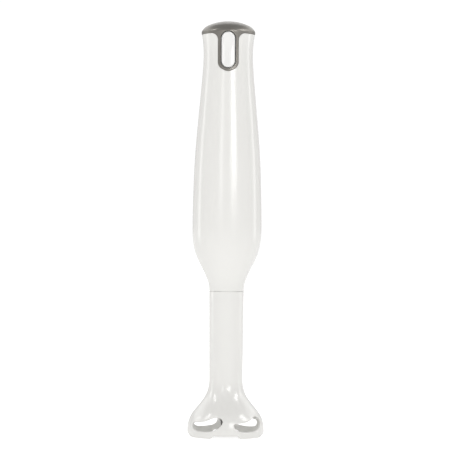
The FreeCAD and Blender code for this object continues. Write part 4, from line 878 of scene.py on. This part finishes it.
# ------------------------------------------------------------------ button
class ArcSkin(Skin):
    """Front of the button: a hollow arc turned about the axis."""

    def __init__(self):
        (z0, r0), (z1, r1), (z2, r2) = (320.0, 24.6), (338.0, 23.75), (362.0, 26.1)
        m = np.array([[2 * (z1 - z0), 2 * (r1 - r0)], [2 * (z2 - z0), 2 * (r2 - r0)]])
        k = np.array([z1**2 - z0**2 + r1**2 - r0**2, z2**2 - z0**2 + r2**2 - r0**2])
        cz, cr = np.linalg.solve(m, k)
        radius = math.hypot(z0 - cz, r0 - cr)
        self.z = np.linspace(z0, z2, 80)
        self.r = cr - np.sqrt(radius**2 - (self.z - cz) ** 2)
        self.nz, self.nr = (cz - self.z) / radius, (cr - self.r) / radius


def make_button():
    """Push button: crowned capsule with a soft edge, its flange, spring seat and post."""
    shape, outer, front, back = Shape(), ArcSkin(), body_skin(-4.0), body_skin(-5.2)
    scale, lip, flange_lip = 24.0, 1.3, 0.15
    outline = capsule(0, 0.45)
    loop, sunk = on_front(outer, outline), on_front(back, outline)
    start = offset_loop(loop * (scale, 1), lip) / (scale, 1)
    shape.rim(outer, back, loop, start, sunk, lip, steps=8)
    shape.cover(outer, [start], 0.7, scale)
    shape.cover(back, [sunk], 1.2, scale, -1)
    outline = capsule(FLANGE_RIM, 0.7)
    loop, sunk = on_front(front, outline), on_front(back, outline)
    start = offset_loop(loop * (scale, 1), flange_lip) / (scale, 1)
    shape.rim(front, back, loop, start, sunk, flange_lip, steps=2)
    shape.cover(front, [start], 1.2, scale)
    shape.cover(back, [sunk], 1.2, scale, -1)
    around = np.linspace(0, 2 * math.pi, 33)
    c, s = np.cos(around), np.sin(around)
    radial = np.stack([c, 0 * c, s], 1)
    root_y = SPRING_SEAT_Y - 3.0
    for radius, tip_y in ((5.2, SPRING_SEAT_Y), (2.2, root_y + 6.0)):
        rows = [np.stack([r * c, np.full_like(c, y), PRESS_Z + r * s], 1) for r, y in
                ((0, root_y), (radius, root_y), (radius, tip_y), (0, tip_y))]
        up = np.tile([0.0, 1.0, 0.0], (len(c), 1))
        shape.strip(rows[0], -up, rows[1], -up)
        shape.strip(rows[1], radial, rows[2], radial)
        shape.strip(rows[2], up, rows[3], up)
    return shape.piece("button", looks["button_white"], "button", "button_white", "power_button")


def make_coil(name, place, along, across, radius, wire, length, turns):
    """Coil spring that stands for a CAD spring: it backs on place."""
    place, along, across = (np.array(v, float) for v in (place, along, across))
    shape, third = Shape(), np.cross(along, across)
    climb = (length - 2 * wire) / (2 * math.pi * turns)
    around = np.linspace(0, 2 * math.pi, 13)[:, None]
    rows = []
    for t in np.linspace(0, 2 * math.pi * turns, 32 * turns + 1):
        radial = across * math.cos(t) + third * math.sin(t)
        ahead = unit((third * math.cos(t) - across * math.sin(t)) * radius + along * climb)
        normals = radial * np.cos(around) + np.cross(ahead, radial) * np.sin(around)
        middle = place + radial * radius + along * (wire + climb * t)
        rows.append((middle + normals * wire, normals, normals * 0 + middle, normals * 0 + ahead))
    for a, b in zip(rows, rows[1:]):
        shape.strip(a[0], a[1], b[0], b[1])
    for row, side in ((rows[0], -1), (rows[-1], 1)):
        shape.strip(row[0], row[3] * side, row[2], row[3] * side)
    spring = shape.piece(name.replace("spring", "coil"), looks["spring_steel"],
                         "housing", "spring_steel", name)
    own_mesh(spring)


def make_springs():
    """The button's spring on the switch bracket, and the brush springs in their boxes."""
    make_coil("button_spring", (0, PLATE_Y, PRESS_Z), (0, -1, 0), (1, 0, 0),
              radius=4.3, wire=0.33, length=PLATE_Y - SPRING_SEAT_Y, turns=3)
    for side, name in ((1, "right"), (-1, "left")):
        make_coil(f"brush_spring_{name}",
                  (BRUSH_BOX_R * side, 0, BRUSH_Z), (-side, 0, 0), (0, 0, 1),
                  radius=1.6, wire=0.25, length=BRUSH_BOX_R - BRUSH_OUT_R, turns=4)


make_bell()
make_shells()
make_cap()
make_grommet()
make_button()
make_springs()

# ------------------------------------------------------------------ stage, light and camera
ROOM, BAND_GLOW, BACKDROP = 0.66, 1.2, 1.05
FLOOR_GLOW, FLOOR_LIFT = 0.40, 0.25
CAMERA_PLACE, CAMERA_FIELD, CAMERA_ROLL = (0.0027, -1.75, 0.1835), 13.385, -0.43


def make_floor():
    """White floor, lifted to the white of the backdrop where the camera sees it."""
    mesh = bpy.data.meshes.new("floor")
    size = 12.0
    corners = [(-size, -size, 0), (size, -size, 0), (size, size, 0), (-size, size, 0)]
    mesh.from_pydata(corners, [], [(0, 1, 2, 3)])
    floor = bpy.data.objects.new("floor", mesh)
    bpy.context.scene.collection.objects.link(floor)
    m = Nodes("floor")
    m.tint(m.noise(3), (0.68, 0.68, 0.68), (0.72, 0.72, 0.72))
    m.set(Roughness=0.9, Specular_IOR_Level=0.1, Emission_Color=(1, 1, 1, 1))
    lift = m.node("ShaderNodeMath", operation="MULTIPLY_ADD")
    lift.inputs[1].default_value = FLOOR_LIFT
    lift.inputs[2].default_value = FLOOR_GLOW
    m.link(m.node("ShaderNodeLightPath").outputs["Is Camera Ray"], lift.inputs[0])
    m.link(lift.outputs[0], m.shader.inputs["Emission Strength"])
    mesh.materials.append(m.material)


def make_world():
    """White backdrop for the camera; soft grey room with a lighter band high behind for everything else."""
    world = bpy.data.worlds.new("studio")
    bpy.context.scene.world = world
    world.use_nodes = True
    tree = world.node_tree
    tree.nodes.clear()
    new, link = tree.nodes.new, tree.links.new

    def ramp(socket, low, high):
        made = new("ShaderNodeMapRange")
        made.interpolation_type = "SMOOTHSTEP"
        made.inputs["From Min"].default_value, made.inputs["From Max"].default_value = low, high
        link(socket, made.inputs["Value"])
        return made.outputs["Result"]

    def math_node(operation, a, b):
        made = new("ShaderNodeMath")
        made.operation = operation
        for k, value in enumerate((a, b)):
            if isinstance(value, float):
                made.inputs[k].default_value = value
            else:
                link(value, made.inputs[k])
        return made.outputs[0]

    axes = new("ShaderNodeSeparateXYZ")
    link(new("ShaderNodeTexCoord").outputs["Generated"], axes.inputs[0])
    behind = ramp(axes.outputs["Y"], 0.0, 0.35)
    band = math_node("MULTIPLY", ramp(axes.outputs["Z"], 0.25, 0.38), ramp(axes.outputs["Z"], 0.72, 0.66))
    glow = math_node("MULTIPLY", math_node("MULTIPLY", behind, band), BAND_GLOW)
    room = math_node("ADD", glow, ROOM)
    out, mix = new("ShaderNodeOutputWorld"), new("ShaderNodeMixShader")
    seen, unseen = new("ShaderNodeBackground"), new("ShaderNodeBackground")
    seen.inputs["Strength"].default_value = BACKDROP
    link(room, unseen.inputs["Strength"])
    for k, socket in enumerate((new("ShaderNodeLightPath").outputs["Is Camera Ray"],
                                unseen.outputs[0], seen.outputs[0])):
        link(socket, mix.inputs[k])
    for background in (seen, unseen):
        background.inputs["Color"].default_value = (1, 1, 1, 1)
    link(mix.outputs[0], out.inputs[0])


def softbox(name, azimuth, elevation, width, height, radiance, kind="glossy", distance=1.5):
    """Area light that faces the blender. Azimuth 0 is the camera's side, positive to its right.
    Width and height are angles in degrees. A glossy light shows as a reflection alone, and a diffuse one
    lights without a reflection."""
    a, e = math.radians(azimuth), math.radians(elevation)
    target = Vector((0, 0, 0.18))
    away = Vector((math.sin(a) * math.cos(e), -math.cos(a) * math.cos(e), math.sin(e)))
    light = bpy.data.lights.new(name, "AREA")
    light.shape = "RECTANGLE"
    light.size, light.size_y = [2 * distance * math.tan(math.radians(v) / 2) for v in (width, height)]
    light.energy = 4 * radiance * light.size * light.size_y
    obj = bpy.data.objects.new(name, light)
    obj.visible_camera = False
    obj.visible_diffuse = kind == "diffuse"
    obj.visible_glossy = kind == "glossy"
    obj.location = target + away * distance
    obj.rotation_euler = (-away).to_track_quat("-Z", "Y").to_euler()
    bpy.context.scene.collection.objects.link(obj)


def make_camera():
    camera = bpy.data.cameras.new("camera")
    camera.sensor_width = 36.0
    camera.angle = math.radians(CAMERA_FIELD)
    camera.clip_end = 100.0
    obj = bpy.data.objects.new("camera", camera)
    obj.location = CAMERA_PLACE
    obj.rotation_euler = (math.radians(90), math.radians(CAMERA_ROLL), 0)
    bpy.context.scene.collection.objects.link(obj)
    bpy.context.scene.camera = obj


make_floor()
make_world()
softbox("key_right", 22, 14, 19, 17, 5.0)
softbox("key_left", -21, 13, 10, 19, 2.0)
softbox("rim_right", 106, 8, 11, 44, 1.8)
softbox("rim_left", -106, 8, 11, 44, 1.8)
softbox("high_right", 73, 36, 16, 26, 5.5)
softbox("high_left", -75, 38, 8, 25, 5.5)
softbox("front_fill", 0, 3, 80, 34, 0.9, "diffuse")
make_camera()
bpy.context.scene.view_settings.view_transform = "Standard"
